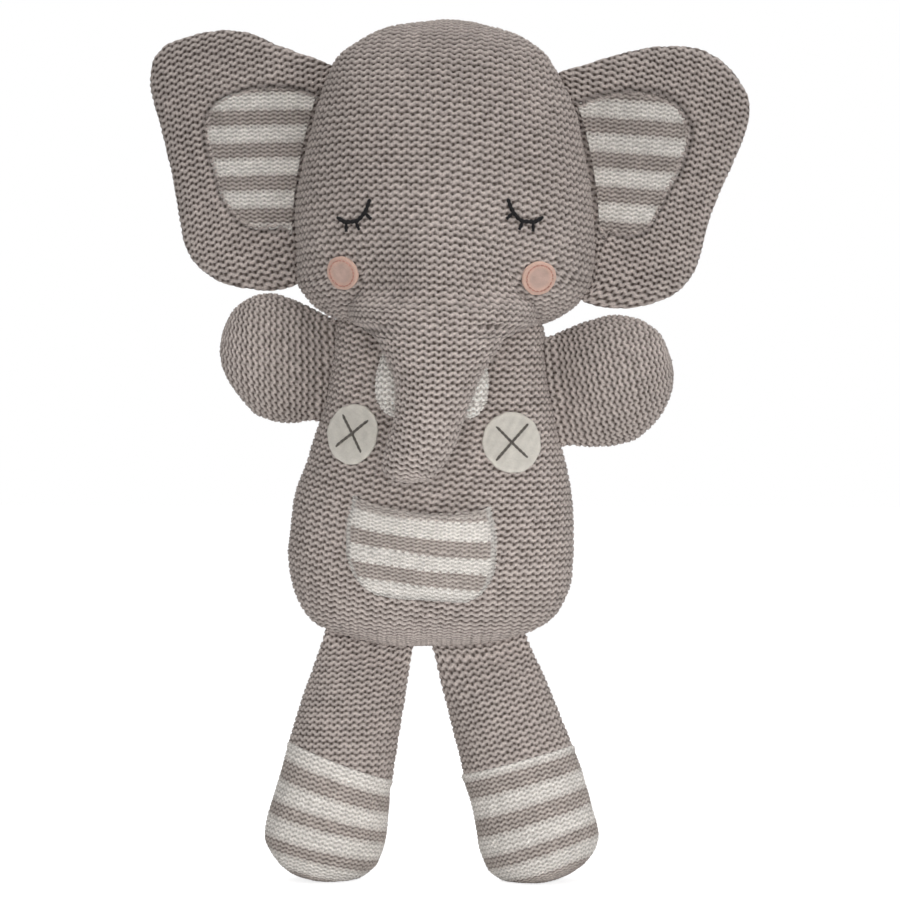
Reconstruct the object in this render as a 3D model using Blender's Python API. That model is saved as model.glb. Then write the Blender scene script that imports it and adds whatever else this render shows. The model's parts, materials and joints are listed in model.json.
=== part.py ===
"""A knitted stuffed elephant, in metres, +Z up, facing -Y.

Every stuffed piece is a knit cover with its own stuffing inside. Arms, legs and ears are sewn on
along a seam that is pinched flat, and swing about that seam. The head nods on the rounded top of
the body, and the trunk lifts on its rounded root. Left and right are the toy's own.
"""
import math
from collections import namedtuple

import bmesh
import bpy
import numpy as np
from mathutils import Matrix, Vector

# Sizes shared by all pieces.
KNIT = 0.0014            # thickness of the knitted fabric
CLEAR = 0.0004           # gap between pieces that lie against each other
SEAM_R = 0.0024          # radius of the pinched, rounded edge of a sewn-on seam
FELT = 0.0012            # thickness of the felt trims
THREAD_R = 0.0007        # radius of the embroidery thread

# Body: a pear-shaped bag. Heights are above the floor.
BODY_BASE_Z = 0.1027     # lowest point of the body
BODY_WIDEST_Z = 0.1460
NECK_Z = 0.2330          # axis that the head nods about
BODY_WIDTH = 0.1252
BODY_DEPTH = 0.0740
NECK_WIDTH = 0.0930
NECK_DEPTH = 0.0520
BODY_X = -0.0085         # the body sits a little to the toy's right of the head
BODY_LEAN = 0.030        # sideways lean towards the neck, per metre of height

# Head: a tall egg, flat underneath.
HEAD_X = -0.0022
HEAD_Y = 0.0
HEAD_BASE_Z = 0.2420
HEAD_HEIGHT = 0.1376
HEAD_WIDTH = 0.1332
HEAD_DEPTH = 0.0940

# Trunk: hangs from a rounded root in the face and bends to the toy's right.
TRUNK_Y = -0.0420
TRUNK_Z = 0.2660
TRUNK_WIDTH = 0.0580
TRUNK_ROOT_R = 0.0220
TRUNK_LENGTH = 0.0895
TRUNK_TIP_WIDTH = 0.0270
TRUNK_TIP_DEPTH = 0.0250
TRUNK_BOW = 0.0180       # how far the middle stands out in front of the root
TRUNK_BEND = 0.0160      # sideways bend at the tip

# Tusks: small stuffed horns beside and behind the trunk.
TUSK_SPREAD = 0.0165
TUSK_X = -0.0079
TUSK_LENGTH = 0.0420
TUSK_R = 0.0086
TUSK_ROOT_R = 0.0033
TUSK_ROOT_Y = -0.0285
TUSK_REACH = 0.0115      # how far the tip stands forward of the root

# Ears: broad flat lobes, wider at the top.
EAR_REACH = 0.0715
EAR_SEAM = 0.0966
EAR_THICK = 0.0112
EAR_Y = 0.0040
EAR_SEAM_Z = {"right": 0.3130, "left": 0.3071}
EAR_TILT = {"right": 10.0, "left": 6.8}
LINING_REACH = 0.0430

# Arms: short mitts.
ARM_SEAM = 0.0455
ARM_HEIGHT = 0.0530
ARM_THICK = 0.0316
ARM_REACH = {"right": 0.0461, "left": 0.0515}
ARM_SEAM_Z = {"right": 0.2227, "left": 0.2131}
ARM_TILT = {"right": 9.5, "left": 11.5}

# Legs: tubes that widen to a striped foot with a flat sole.
LEG_SEAM = 0.0390
LEG_X = {"right": -0.0265, "left": 0.0211}
LEG_SPLAY = {"right": 13.0, "left": 18.2}
FOOT_WIDTH = 0.0534
FOOT_DEPTH = 0.0560
FOOT_START = 0.0520      # along the leg from its seam to the first stripe
SOLE_CUT = 0.0015        # how much of the round foot the floor flattens

# Trims.
POCKET_WIDTH = 0.0670
POCKET_HEIGHT = 0.0430
POCKET_X = -0.0020
POCKET_TOP_Z = 0.1655
POCKET_TILT = 3.0
POCKET_GAPE = 0.0068     # how far the middle of the mouth stands off the body
BUTTON_R = 0.0134
BUTTON_SPREAD = 0.0346
BUTTON_Z = 0.1955
BUTTON_DROP = 0.0036     # the left button sits lower than the right one
CROSS_LENGTH = 0.0185
EYE_SPREAD = 0.0386
EYE_Z = 0.2945
EYE_WIDTH = 0.0145
LASH = 0.0040
CHEEK_R = 0.0073
CHEEK_SPREAD = 0.0430
CHEEK_Z = 0.2670

# Mesh fineness and the roundness of the level sections.
AROUND = 24
LIMB_AROUND = 16
SMALL_AROUND = 10
DISC_AROUND = 18
FULLNESS = 2.25
NECK_FULLNESS = 3.4      # the shoulders are squarer than the belly
ROOT_SHARE = 0.45        # share of a limb that bends to follow its seam
PROBE = 0.001            # step over which a surface's slope is measured
CUFF_ROOM = 0.002        # least distance of a leg's sections from the first stripe
CROSS_SLANT = 0.72       # share of a cross stitch's length that runs across, and up
SEAT_ANGLES = (84.0, 72.0, 60.0, 48.0, 36.0, 24.0, 12.0, 0.0)

SIDES = (("right", -1.0), ("left", 1.0))
Station = namedtuple("Station", "z x y w d full", defaults=(2.0,))

# Materials: colour, roughness.
FINISHES = {
    "yarn_taupe": ((0.38, 0.33, 0.30), 0.95),
    "yarn_striped": ((0.55, 0.52, 0.49), 0.95),
    "yarn_white": ((0.78, 0.76, 0.72), 0.95),
    "stuffing_white": ((0.86, 0.86, 0.84), 1.0),
    "felt_cream": ((0.66, 0.64, 0.58), 0.95),
    "felt_peach": ((0.68, 0.42, 0.33), 0.95),
    "thread_black": ((0.02, 0.02, 0.02), 0.7),
    "thread_grey": ((0.12, 0.11, 0.11), 0.8),
}


def clear_scene():
    for obj in list(bpy.data.objects):
        bpy.data.objects.remove(obj, do_unlink=True)


def material(name):
    mat = bpy.data.materials.get(name)
    if mat:
        return mat
    colour, roughness = FINISHES[name]
    mat = bpy.data.materials.new(name)
    mat.use_nodes = True
    shader = mat.node_tree.nodes["Principled BSDF"]
    shader.inputs["Base Color"].default_value = (*colour, 1.0)
    shader.inputs["Roughness"].default_value = roughness
    shader.inputs["Metallic"].default_value = 0.0
    mat.diffuse_color = (*colour, 1.0)
    return mat


def empty(name, matrix, parent=None):
    obj = bpy.data.objects.new(name, None)
    bpy.context.collection.objects.link(obj)
    obj.parent = parent
    obj.matrix_local = matrix
    return obj


def add_object(name, bm, finish, parent):
    bmesh.ops.recalc_face_normals(bm, faces=bm.faces)
    mesh = bpy.data.meshes.new(name)
    bm.to_mesh(mesh)
    bm.free()
    for face in mesh.polygons:
        face.use_smooth = True
    mesh.materials.append(material(finish))
    obj = bpy.data.objects.new(name, mesh)
    bpy.context.collection.objects.link(obj)
    obj.parent = parent
    return obj


def blend(table, t):
    """Value of a table of (place, value) pairs at t, straight between the pairs."""
    places = [row[0] for row in table]
    return float(np.interp(t, places, [row[1] for row in table]))


def oval(w, d, count, fullness=2.0):
    """Ring of points, w and d to each side, whose thin ends keep the seam's roundness."""
    edge = min(SEAM_R, d)
    points = []
    for k in range(count):
        turn = 2.0 * math.pi * k / count
        c, s = math.cos(turn), math.sin(turn)
        cx = math.copysign(abs(c) ** (2.0 / fullness), c)
        sy = math.copysign(abs(s) ** (2.0 / fullness), s)
        if k in (0, count // 2):
            sy = 0.0
        core_w, core_d = max(w - edge, 1e-6), max(d - edge, 1e-6)
        n = np.array((c / core_w, (s if sy else 0.0) / core_d))
        n /= np.linalg.norm(n)
        points.append((core_w * cx + edge * n[0], core_d * sy + edge * n[1]))
    return points


def ring_points(station, count):
    return [Vector((station.x + px, station.y + py, station.z))
            for px, py in oval(station.w, station.d, count, station.full)]


def dome_rings(station, angles, count):
    """The first ring turned up about the hinge line, so that the root rolls in its seat."""
    rings = []
    for angle in angles:
        turn = math.radians(angle)
        ring = []
        for px, py in oval(station.w, station.d, count, station.full):
            ring.append(Vector((station.x + px, station.y + py * math.cos(turn),
                                station.z + abs(py) * math.sin(turn))))
        rings.append(ring)
    return rings


def bridge(bm, row):
    """Close a root across its crest, from the front edge to the back edge."""
    count = len(row)
    for j in range(count // 2):
        loop = (row[j], row[j + 1], row[count - j - 1], row[(count - j) % count])
        bm.faces.new(list(dict.fromkeys(loop)))


def skin(rings, tip=None, crown=None, ridge=False):
    """Surface through rings, closed by a point at the tip and a point or a ridge at the crown."""
    bm = bmesh.new()
    rows = [[bm.verts.new(p) for p in ring] for ring in rings]
    count = len(rows[0])
    for upper, lower in zip(rows, rows[1:]):
        for j in range(count):
            k = (j + 1) % count
            bm.faces.new((upper[j], lower[j], lower[k], upper[k]))
    for point, row in ((tip, rows[-1]), (crown, rows[0])):
        if point is None:
            continue
        end = bm.verts.new(point)
        for j in range(count):
            k = (j + 1) % count
            loop = (row[j], end, row[k]) if row is rows[-1] else (row[k], end, row[j])
            bm.faces.new(loop)
    if ridge:
        bridge(bm, rows[0])
    bmesh.ops.remove_doubles(bm, verts=bm.verts, dist=1e-6)
    bmesh.ops.dissolve_degenerate(bm, edges=bm.edges, dist=1e-7)
    bmesh.ops.recalc_face_normals(bm, faces=bm.faces)
    bm.normal_update()
    return bm


def cover(name, bm, finish, parent):
    """Knit cover: the surface, thickened inwards, open where the surface is open."""
    obj = add_object(name, bm, finish, parent)
    thick = obj.modifiers.new("knit", "SOLIDIFY")
    thick.thickness = KNIT
    thick.offset = -1.0
    thick.use_even_offset = False
    thick.use_rim = True
    return obj


def shrink(bm, depth):
    bm.normal_update()
    moved = [(v, v.co - v.normal * depth) for v in bm.verts]
    for v, co in moved:
        v.co = co


def cap(bm):
    """Close the open end of a surface with a fan to the middle of its rim."""
    rim = [edge for edge in bm.edges if edge.is_boundary]
    ends = {v for edge in rim for v in edge.verts}
    top = bm.verts.new(sum((v.co for v in ends), Vector()) / len(ends))
    for edge in rim:
        bm.faces.new((*edge.verts, top))


def stuffing(name, bm, parent, steering=0):
    """Stuffing: the inside of a cover's surface, a small gap clear of the knit.

    An open surface gives up its first ring, of so many points, which only steers the slope there.
    """
    shrink(bm, KNIT + CLEAR)
    if steering:
        bm.verts.ensure_lookup_table()
        bmesh.ops.delete(bm, geom=bm.verts[:steering], context="VERTS")
        cap(bm)
    return add_object(name, bm, "stuffing_white", parent)


def limb_frame(origin, axis_x, axis_z):
    """Matrix whose X is the hinge line and whose -Z runs out along the limb."""
    x, z = Vector(axis_x), Vector(axis_z)
    y = z.cross(x)
    m = Matrix((x, y, z)).transposed().to_4x4()
    m.translation = origin
    return m


# Body.
def body_centre(z):
    return BODY_X + BODY_LEAN * (z - BODY_BASE_Z)


def body_stations():
    """Level sections from the neck axis down to the lowest point."""
    rise = NECK_Z - BODY_WIDEST_Z
    drop = BODY_WIDEST_Z - BODY_BASE_Z
    half_w, neck_w = BODY_WIDTH / 2, NECK_WIDTH / 2
    half_d, neck_d = BODY_DEPTH / 2, NECK_DEPTH / 2
    rows = []
    for share, swell in ((1.0, 0.0), (0.79, 0.18), (0.50, 0.58), (0.25, 0.90), (0.0, 1.0)):
        w = neck_w + (half_w - neck_w) * swell
        d = neck_d + (half_d - neck_d) * swell
        full = FULLNESS + (NECK_FULLNESS - FULLNESS) * share ** 2
        rows.append((BODY_WIDEST_Z + rise * share, w, d, full))
    for share, wide, deep in ((0.32, 0.985, 0.96), (0.55, 0.935, 0.86), (0.72, 0.855, 0.73),
                              (0.855, 0.69, 0.55), (0.94, 0.48, 0.37), (0.985, 0.26, 0.20)):
        rows.append((BODY_WIDEST_Z - drop * share, half_w * wide, half_d * deep, FULLNESS))
    return [Station(z, body_centre(z), 0.0, w, d, full) for z, w, d, full in rows]


def head_stations():
    """Level sections from near the crown to near the flat underside."""
    top = HEAD_BASE_Z + HEAD_HEIGHT
    half_w, half_d = HEAD_WIDTH / 2, HEAD_DEPTH / 2
    rows = ((0.022, 0.36, 0.25), (0.062, 0.545, 0.43), (0.128, 0.705, 0.62), (0.243, 0.83, 0.81),
            (0.417, 0.93, 0.95), (0.584, 0.984, 1.0), (0.736, 1.0, 1.0), (0.838, 0.984, 0.935),
            (0.900, 0.905, 0.84), (0.945, 0.80, 0.70), (0.980, 0.62, 0.50))
    return [Station(top - HEAD_HEIGHT * drop, HEAD_X, HEAD_Y, half_w * w, half_d * d, FULLNESS)
            for drop, w, d in rows]


def section_at(stations, z):
    """Section of a body or head form at height z."""
    rows = sorted(stations, key=lambda st: st.z)
    heights = [st.z for st in rows]
    return Station(z, *(float(np.interp(z, heights, [getattr(st, f) for st in rows]))
                        for f in ("x", "y", "w", "d", "full")))


def front_point(stations, x, z):
    """Point on the front of a form, with x measured from the form's own middle."""
    st = section_at(stations, z)
    side = min(abs(x) / st.w, 0.999)
    depth = st.d * (1.0 - side ** st.full) ** (1.0 / st.full)
    return Vector((st.x + x, st.y - depth, z))


def front_frame(stations, x, z):
    """Point on a form's front with the surface's directions across, up and outwards."""
    p = front_point(stations, x, z)
    across = front_point(stations, x + PROBE, z) - front_point(stations, x - PROBE, z)
    up = front_point(stations, x, z + PROBE) - front_point(stations, x, z - PROBE)
    out = across.cross(up).normalized()
    across.normalize()
    return p, across, out.cross(across).normalized(), out


def outline(stations, base_z, crown_z):
    """Points of a form's front silhouette, as (x, z), thickly sampled."""
    rows = sorted(stations, key=lambda st: st.z)
    top, rise = rows[-1], crown_z - rows[-1].z
    points = []
    for side in (-1.0, 1.0):
        line = [(rows[0].x, base_z)] + [(st.x + side * st.w, st.z) for st in rows]
        for t in np.linspace(0.1, 1.0, 10):
            line.append((top.x + side * top.w * (1.0 - t ** top.full) ** (1.0 / top.full),
                         top.z + rise * t))
        for a, b in zip(line, line[1:]):
            for t in np.linspace(0.0, 1.0, 12):
                points.append((a[0] + (b[0] - a[0]) * t, a[1] + (b[1] - a[1]) * t))
    return points


def seat(points, origin, along, out, half):
    """Move a hinge line out until its rounded root just clears the silhouette.

    Also gives how far the silhouette falls back from that line at each place along the seam.
    """
    places = np.linspace(-half, half, 25)
    line = []
    for x, z in points:
        rel = Vector((x, 0.0, z)) - origin
        line.append((rel.dot(along), rel.dot(out)))
    reach = []
    for place in places:
        crossings = []
        for a, b in zip(line, line[1:]):
            if min(a[0], b[0]) <= place <= max(a[0], b[0]) and a[0] != b[0]:
                crossings.append(a[1] + (b[1] - a[1]) * (place - a[0]) / (b[0] - a[0]))
        reach.append(max(crossings))
    furthest = max(reach)

    def fall(place):
        return furthest - float(np.interp(place, places, reach))

    return origin + out * (furthest + SEAM_R + CLEAR / 2), fall


def root_follow(fall, depth):
    """Bend the root of a limb back along its seam onto the form that it is sewn to."""
    def warp(p):
        t = min(max(-p.z / depth, 0.0), 1.0)
        return Vector((p.x, p.y, p.z + fall(p.x) * (1.0 - t) ** 2))
    return warp


def build_body(parent):
    stations = body_stations()
    rings = dome_rings(stations[0], (62.0, 32.0), AROUND)
    rings += [ring_points(st, AROUND) for st in stations]
    tip = Vector((body_centre(BODY_BASE_Z), 0.0, BODY_BASE_Z))
    cover("body_cover", skin(rings, tip), "yarn_taupe", parent)
    stuffing("body_stuffing", skin(rings, tip, ridge=True), parent)


def surface_patch(name, finish, parent, place, columns, rows, thick, lift):
    """Thin piece that follows a surface: place(u, v) gives the point and the outward normal."""
    bm = bmesh.new()
    layers = []
    for offset in (0.0, thick):
        grid = []
        for i in range(rows + 1):
            line = []
            for j in range(columns + 1):
                u, v = -1.0 + 2.0 * j / columns, i / rows
                p, out = place(u, v)
                line.append(bm.verts.new(p + out * (lift(u, v) + offset)))
            grid.append(line)
        layers.append(grid)
    back, front = layers
    for i in range(rows):
        for j in range(columns):
            bm.faces.new((front[i][j], front[i + 1][j], front[i + 1][j + 1], front[i][j + 1]))
            bm.faces.new((back[i][j], back[i][j + 1], back[i + 1][j + 1], back[i + 1][j]))
    edge = [(0, j) for j in range(columns)] + [(i, columns) for i in range(rows)]
    edge += [(rows, j) for j in range(columns, 0, -1)] + [(i, 0) for i in range(rows, 0, -1)]
    for (i0, j0), (i1, j1) in zip(edge, edge[1:] + edge[:1]):
        bm.faces.new((front[i0][j0], front[i1][j1], back[i1][j1], back[i0][j0]))
    return add_object(name, bm, finish, parent)


def build_pocket(parent):
    """Patch pocket, open at the top, standing off the belly inside its sewn edge."""
    stations = body_stations()
    half = POCKET_WIDTH / 2
    shape = ((0.0, 0.91), (0.3, 1.0), (0.55, 0.99), (0.75, 0.90), (0.9, 0.74), (1.0, 0.52))
    lean = math.tan(math.radians(POCKET_TILT))

    def place(u, v):
        x = POCKET_X + half * blend(shape, v) * u
        z = POCKET_TOP_Z - POCKET_HEIGHT * v - (x - POCKET_X) * lean
        p, _, _, out = front_frame(stations, x, z)
        return p, out

    def lift(u, v):
        return CLEAR + POCKET_GAPE * (1.0 - abs(u) ** 2.6) * (1.0 - v ** 2.2)

    surface_patch("pocket", "yarn_striped", parent, place, 14, 8, KNIT, lift)


def disc(name, finish, parent, stations, x, z, radius, thick, lift):
    """Felt disc that follows the surface it is sewn to."""
    bm = bmesh.new()
    p0, across, up, _ = front_frame(stations, x, z)
    layers = []
    for offset in (lift, lift + thick):
        rings = []
        for share in (1.0, 0.5):
            ring = []
            for k in range(DISC_AROUND):
                turn = 2.0 * math.pi * k / DISC_AROUND
                q = p0 + across * (radius * share * math.cos(turn)) + up * (
                    radius * share * math.sin(turn))
                mid = section_at(stations, q.z).x
                p, _, _, out = front_frame(stations, q.x - mid, q.z)
                ring.append(bm.verts.new(p + out * offset))
            rings.append(ring)
        p, _, _, out = front_frame(stations, p0.x - section_at(stations, p0.z).x, p0.z)
        rings.append(bm.verts.new(p + out * offset))
        layers.append(rings)
    count = DISC_AROUND
    for outer, inner, mid in layers:
        for j in range(count):
            k = (j + 1) % count
            bm.faces.new((outer[j], outer[k], inner[k], inner[j]))
            bm.faces.new((inner[j], inner[k], mid))
    for j in range(count):
        k = (j + 1) % count
        bm.faces.new((layers[0][0][j], layers[0][0][k], layers[1][0][k], layers[1][0][j]))
    return add_object(name, bm, finish, parent)


def thread_tube(points, radius):
    """Round thread through points, with closed ends."""
    bm = bmesh.new()
    rows = []
    for i, p in enumerate(points):
        before, after = points[max(i - 1, 0)], points[min(i + 1, len(points) - 1)]
        along = (after - before).normalized()
        side = along.cross(Vector((0.0, 1.0, 0.0))).normalized()
        top = side.cross(along).normalized()
        row = []
        for k in range(6):
            turn = math.pi * k / 3.0
            row.append(bm.verts.new(p + side * (radius * math.cos(turn))
                                    + top * (radius * math.sin(turn))))
        rows.append(row)
    for a, b in zip(rows, rows[1:]):
        for j in range(6):
            k = (j + 1) % 6
            bm.faces.new((a[j], b[j], b[k], a[k]))
    bm.faces.new(rows[0])
    bm.faces.new(list(reversed(rows[-1])))
    return bm


def stitched(name, finish, parent, strands):
    """Several strands of thread, joined to one body."""
    first = add_object(name, thread_tube(strands[0], THREAD_R), finish, parent)
    for number, strand in enumerate(strands[1:], 1):
        other = add_object(f"{name}_strand_{number}", thread_tube(strand, THREAD_R), finish, parent)
        other.hide_render = True
        other.display_type = "WIRE"
        join = first.modifiers.new(f"strand_{number}", "BOOLEAN")
        join.operation = "UNION"
        join.solver = "EXACT"
        join.object = other
    return first


def on_front(stations, x, z, lift):
    p, _, _, out = front_frame(stations, x, z)
    return p + out * lift


def build_buttons(parent):
    stations = body_stations()
    for side, sign in SIDES:
        x, z = sign * BUTTON_SPREAD, BUTTON_Z - sign * BUTTON_DROP / 2
        disc(f"button_{side}", "felt_cream", parent, stations, x, z, BUTTON_R, FELT, CLEAR)
        p0, across, up, _ = front_frame(stations, x, z)
        strands = []
        for slope in (-1.0, 1.0):
            strand = []
            for t in np.linspace(-0.5, 0.5, 5):
                slant = CROSS_LENGTH * CROSS_SLANT * t
                q = p0 + across * slant + up * (slope * slant)
                mid = section_at(stations, q.z).x
                strand.append(on_front(stations, q.x - mid, q.z, FELT + THREAD_R + 2 * CLEAR))
            strands.append(strand)
        stitched(f"button_cross_{side}", "thread_grey", parent, strands)


def trunk_stations():
    """Sections of the trunk from its hinge line down, in the trunk's own frame."""
    rows = ((0.0, 0.0, 0.0, 1.0, 1.0), (0.155, 0.36, 0.03, 1.0, 0.91), (0.31, 0.64, 0.08, 0.95, 0.82),
            (0.42, 0.80, 0.14, 0.78, 0.78), (0.525, 0.91, 0.22, 0.64, 0.74),
            (0.70, 1.0, 0.45, 0.535, 0.67), (0.85, 0.95, 0.78, 0.48, 0.57),
            (0.93, 0.90, 0.92, 0.39, 0.45), (0.98, 0.87, 1.0, 0.22, 0.25))
    half_w, root = TRUNK_WIDTH / 2, TRUNK_ROOT_R
    tip_w, tip_d = TRUNK_TIP_WIDTH / 2, TRUNK_TIP_DEPTH / 2
    stations = []
    for share, bow, bend, w, d in rows:
        wide = tip_w + (half_w - tip_w) * (w - 0.48) / 0.52 if w > 0.48 else tip_w * w / 0.48
        deep = tip_d + (root - tip_d) * (d - 0.57) / 0.43 if d > 0.57 else tip_d * d / 0.57
        stations.append(Station(-TRUNK_LENGTH * share, -TRUNK_BEND * bend, -TRUNK_BOW * bow,
                                wide, deep))
    return stations


def trunk_tip():
    return Vector((-TRUNK_BEND, -TRUNK_BOW * 0.85, -TRUNK_LENGTH))


def rolled(p):
    """Point of the trunk's seat, which leaves room behind the root for it to roll."""
    across = min(abs(p.x) / (TRUNK_WIDTH / 2), 1.0)
    back = TRUNK_ROOT_R ** 2 * (1.0 - across ** 2) - p.z ** 2
    return Vector((p.x, max(p.y, math.sqrt(back)), p.z)) if p.y > 0.0 and back > 0.0 else p


def trunk_seat():
    """The trunk's root with room to roll, finely divided."""
    stations = trunk_stations()
    rings = dome_rings(stations[0], SEAT_ANGLES[:-1], LIMB_AROUND)
    fine = [section_at(stations, z) for z in np.linspace(0.0, stations[2].z, 10)] + stations[3:]
    rings += [[rolled(p) for p in ring_points(st, LIMB_AROUND)] for st in fine]
    return rings, trunk_tip()


def build_trunk(parent):
    stations = trunk_stations()
    rings = dome_rings(stations[0], (60.0, 30.0), LIMB_AROUND)
    rings += [ring_points(st, LIMB_AROUND) for st in stations]
    cover("trunk_cover", skin(rings, trunk_tip()), "yarn_taupe", parent)
    stuffing("trunk_stuffing", skin(rings, trunk_tip(), ridge=True), parent)


def socket(name, bm, matrix, parent, gap):
    """Cutter: a form grown by a gap, kept out of the finished part."""
    bmesh.ops.recalc_face_normals(bm, faces=bm.faces)
    shrink(bm, -gap)
    bm.transform(matrix)
    obj = add_object(name, bm, "stuffing_white", parent)
    obj.hide_render = True
    obj.display_type = "WIRE"
    return obj


def cut(obj, cutter):
    mod = obj.modifiers.new(cutter.name, "BOOLEAN")
    mod.operation = "DIFFERENCE"
    mod.solver = "EXACT"
    mod.object = cutter


def build_head(parent, to_head):
    """Head bag with seats for the body's rounded top and for the trunk's root."""
    stations = head_stations()
    rings = [ring_points(st, AROUND) for st in stations]
    crown = Vector((HEAD_X, HEAD_Y, HEAD_BASE_Z + HEAD_HEIGHT))
    base = Vector((HEAD_X, HEAD_Y, HEAD_BASE_Z))
    shell = skin(rings, base, crown)
    shell.transform(to_head)
    bag = cover("head_cover", shell, "yarn_taupe", parent)
    fill = skin(rings, base, crown)
    bmesh.ops.recalc_face_normals(fill, faces=fill.faces)
    shrink(fill, KNIT + CLEAR)
    fill.transform(to_head)
    core = add_object("head_stuffing", fill, "stuffing_white", parent)

    body = body_stations()
    body_rings = dome_rings(body[0], SEAT_ANGLES, AROUND)
    body_rings += [ring_points(st, AROUND) for st in body[:4]]
    foot = Vector((body[4].x, 0.0, body[4].z))
    trunk, tip = trunk_seat()
    place = to_head @ Matrix.Translation((HEAD_X, TRUNK_Y, TRUNK_Z))
    for label, target, gap in (("cover", bag, CLEAR), ("stuffing", core, CLEAR * 2)):
        for seat_name, form, matrix in (("neck_seat", skin(body_rings, foot, ridge=True), to_head),
                                        ("trunk_seat", skin(trunk, tip, ridge=True), place)):
            cut(target, socket(f"{seat_name}_{label}", form, matrix, parent, gap))


def build_face(parent, to_head):
    """Closed embroidered eyes and felt cheeks."""
    stations = head_stations()
    lid = ((-0.5, -0.12), (-0.22, -0.26), (0.05, -0.24), (0.32, 0.02), (0.46, 0.38))
    lashes = (((-0.22, -0.26), (-0.05, -1.0)), ((0.05, -0.24), (0.35, -0.9)), ((0.30, 0.0), (0.7, -0.7)))
    height = EYE_WIDTH
    for side, sign in SIDES:
        def at(u, v):
            x = sign * (EYE_SPREAD - u * EYE_WIDTH)
            return to_head @ on_front(stations, x, EYE_Z + v * height, THREAD_R + CLEAR)
        strands = [[at(u, v) for u, v in lid]]
        for (u, v), (du, dv) in lashes:
            reach = LASH / EYE_WIDTH
            strands.append([at(u + du * reach * t, v + dv * reach * t) for t in (0.0, 0.5, 1.0)])
        stitched(f"eye_{side}", "thread_black", parent, strands)
        x = sign * CHEEK_SPREAD
        cheek = disc(f"cheek_{side}", "felt_peach", parent, stations, x, CHEEK_Z, CHEEK_R, FELT, CLEAR)
        cheek.data.transform(to_head)


def head_underside(x, y):
    """Height of the head's lower surface over a place, with x from the head's middle."""
    stations = head_stations()
    low, high = HEAD_BASE_Z, HEAD_BASE_Z + HEAD_HEIGHT / 4
    for _ in range(24):
        z = (low + high) / 2
        if front_point(stations, x, z).y < y:
            high = z
        else:
            low = z
    return high


def build_tusk(side, sign, parent, to_head):
    """Small stuffed horn under the head, beside the trunk."""
    rows = ((0.0, 0.0, 0.0), (0.19, 0.16, 0.22), (0.40, 0.51, 0.80), (0.62, 0.78, 1.0),
            (0.83, 0.91, 0.86), (0.94, 0.98, 0.55))
    x = TUSK_X + sign * TUSK_SPREAD
    inner = x - sign * TUSK_ROOT_R
    root_z = head_underside(inner - HEAD_X, TUSK_ROOT_Y + TUSK_ROOT_R) - CLEAR
    rings = []
    for share, reach, swell in rows:
        r = TUSK_ROOT_R + (TUSK_R - TUSK_ROOT_R) * swell if share < 0.9 else TUSK_R * swell
        st = Station(root_z - TUSK_LENGTH * share, x, TUSK_ROOT_Y - TUSK_REACH * reach, r, r)
        rings.append([to_head @ p for p in ring_points(st, SMALL_AROUND)])
    tip = to_head @ Vector((x, TUSK_ROOT_Y - TUSK_REACH, root_z - TUSK_LENGTH))
    cover(f"tusk_{side}_cover", skin(rings, tip), "yarn_white", parent)
    stuffing(f"tusk_{side}_stuffing", skin(rings, tip), parent, SMALL_AROUND)


def limb_stations(rows, reach, seam, wide, thick, flip=1.0):
    """Sections of a sewn-on limb: share of the reach, middle, half-width and half-thickness."""
    stations = []
    for share, middle, w, d in rows:
        half = seam / 2 if share == 0.0 else wide / 2 * w
        deep = max(SEAM_R, thick / 2 * d)
        stations.append(Station(-reach * share, flip * wide / 2 * middle, 0.0, half, deep))
    return stations


def limb_rings(stations, warp):
    rings = dome_rings(stations[0], (52.0, 26.0), LIMB_AROUND)
    rings += [ring_points(st, LIMB_AROUND) for st in stations]
    return [[warp(p) for p in ring] for ring in rings]


ARM_ROWS = ((0.0, 0.0, 0.0, 0.0), (0.10, 0.0, 0.90, 0.42), (0.22, -0.01, 0.95, 0.70),
            (0.36, -0.04, 0.985, 0.90), (0.52, -0.08, 1.0, 1.0), (0.68, -0.14, 0.91, 0.98),
            (0.82, -0.19, 0.73, 0.84), (0.92, -0.23, 0.52, 0.62), (0.98, -0.26, 0.27, 0.34))


def build_arm(side, sign, torso):
    tilt = math.radians(ARM_TILT[side])
    out = Vector((sign * math.cos(tilt), 0.0, math.sin(tilt)))
    along = Vector((-math.sin(tilt), 0.0, sign * math.cos(tilt)))
    body = body_stations()
    st = section_at(body, ARM_SEAM_Z[side])
    origin = Vector((st.x + sign * st.w, 0.0, ARM_SEAM_Z[side]))
    edge = outline(body, BODY_BASE_Z, NECK_Z + body[0].d)
    origin, fall = seat(edge, origin, along, out, ARM_SEAM / 2)
    joint = empty(f"arm_{side}", limb_frame(origin, along, -out), torso)
    reach = ARM_REACH[side]
    stations = limb_stations(ARM_ROWS, reach, ARM_SEAM, ARM_HEIGHT, ARM_THICK, -sign)
    rings = limb_rings(stations, root_follow(fall, reach * ROOT_SHARE))
    tip = Vector((-sign * ARM_HEIGHT / 2 * -0.27, 0.0, -reach))
    cover(f"arm_{side}_cover", skin(rings, tip), "yarn_taupe", joint)
    stuffing(f"arm_{side}_stuffing", skin(rings[2:], tip), joint, LIMB_AROUND)


LEG_ROWS = ((0.0, 0.0, 0.0, 0.0), (0.08, 0.0, 0.76, 0.34), (0.19, 0.0, 0.79, 0.545),
            (0.36, 0.0, 0.83, 0.67), (0.66, 0.0, 0.92, 0.84), (0.80, 0.0, 0.99, 0.965),
            (0.87, 0.0, 0.965, 1.0), (0.915, 0.0, 0.86, 0.98), (0.957, 0.0, 0.69, 0.91),
            (0.985, 0.0, 0.43, 0.76))


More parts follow.
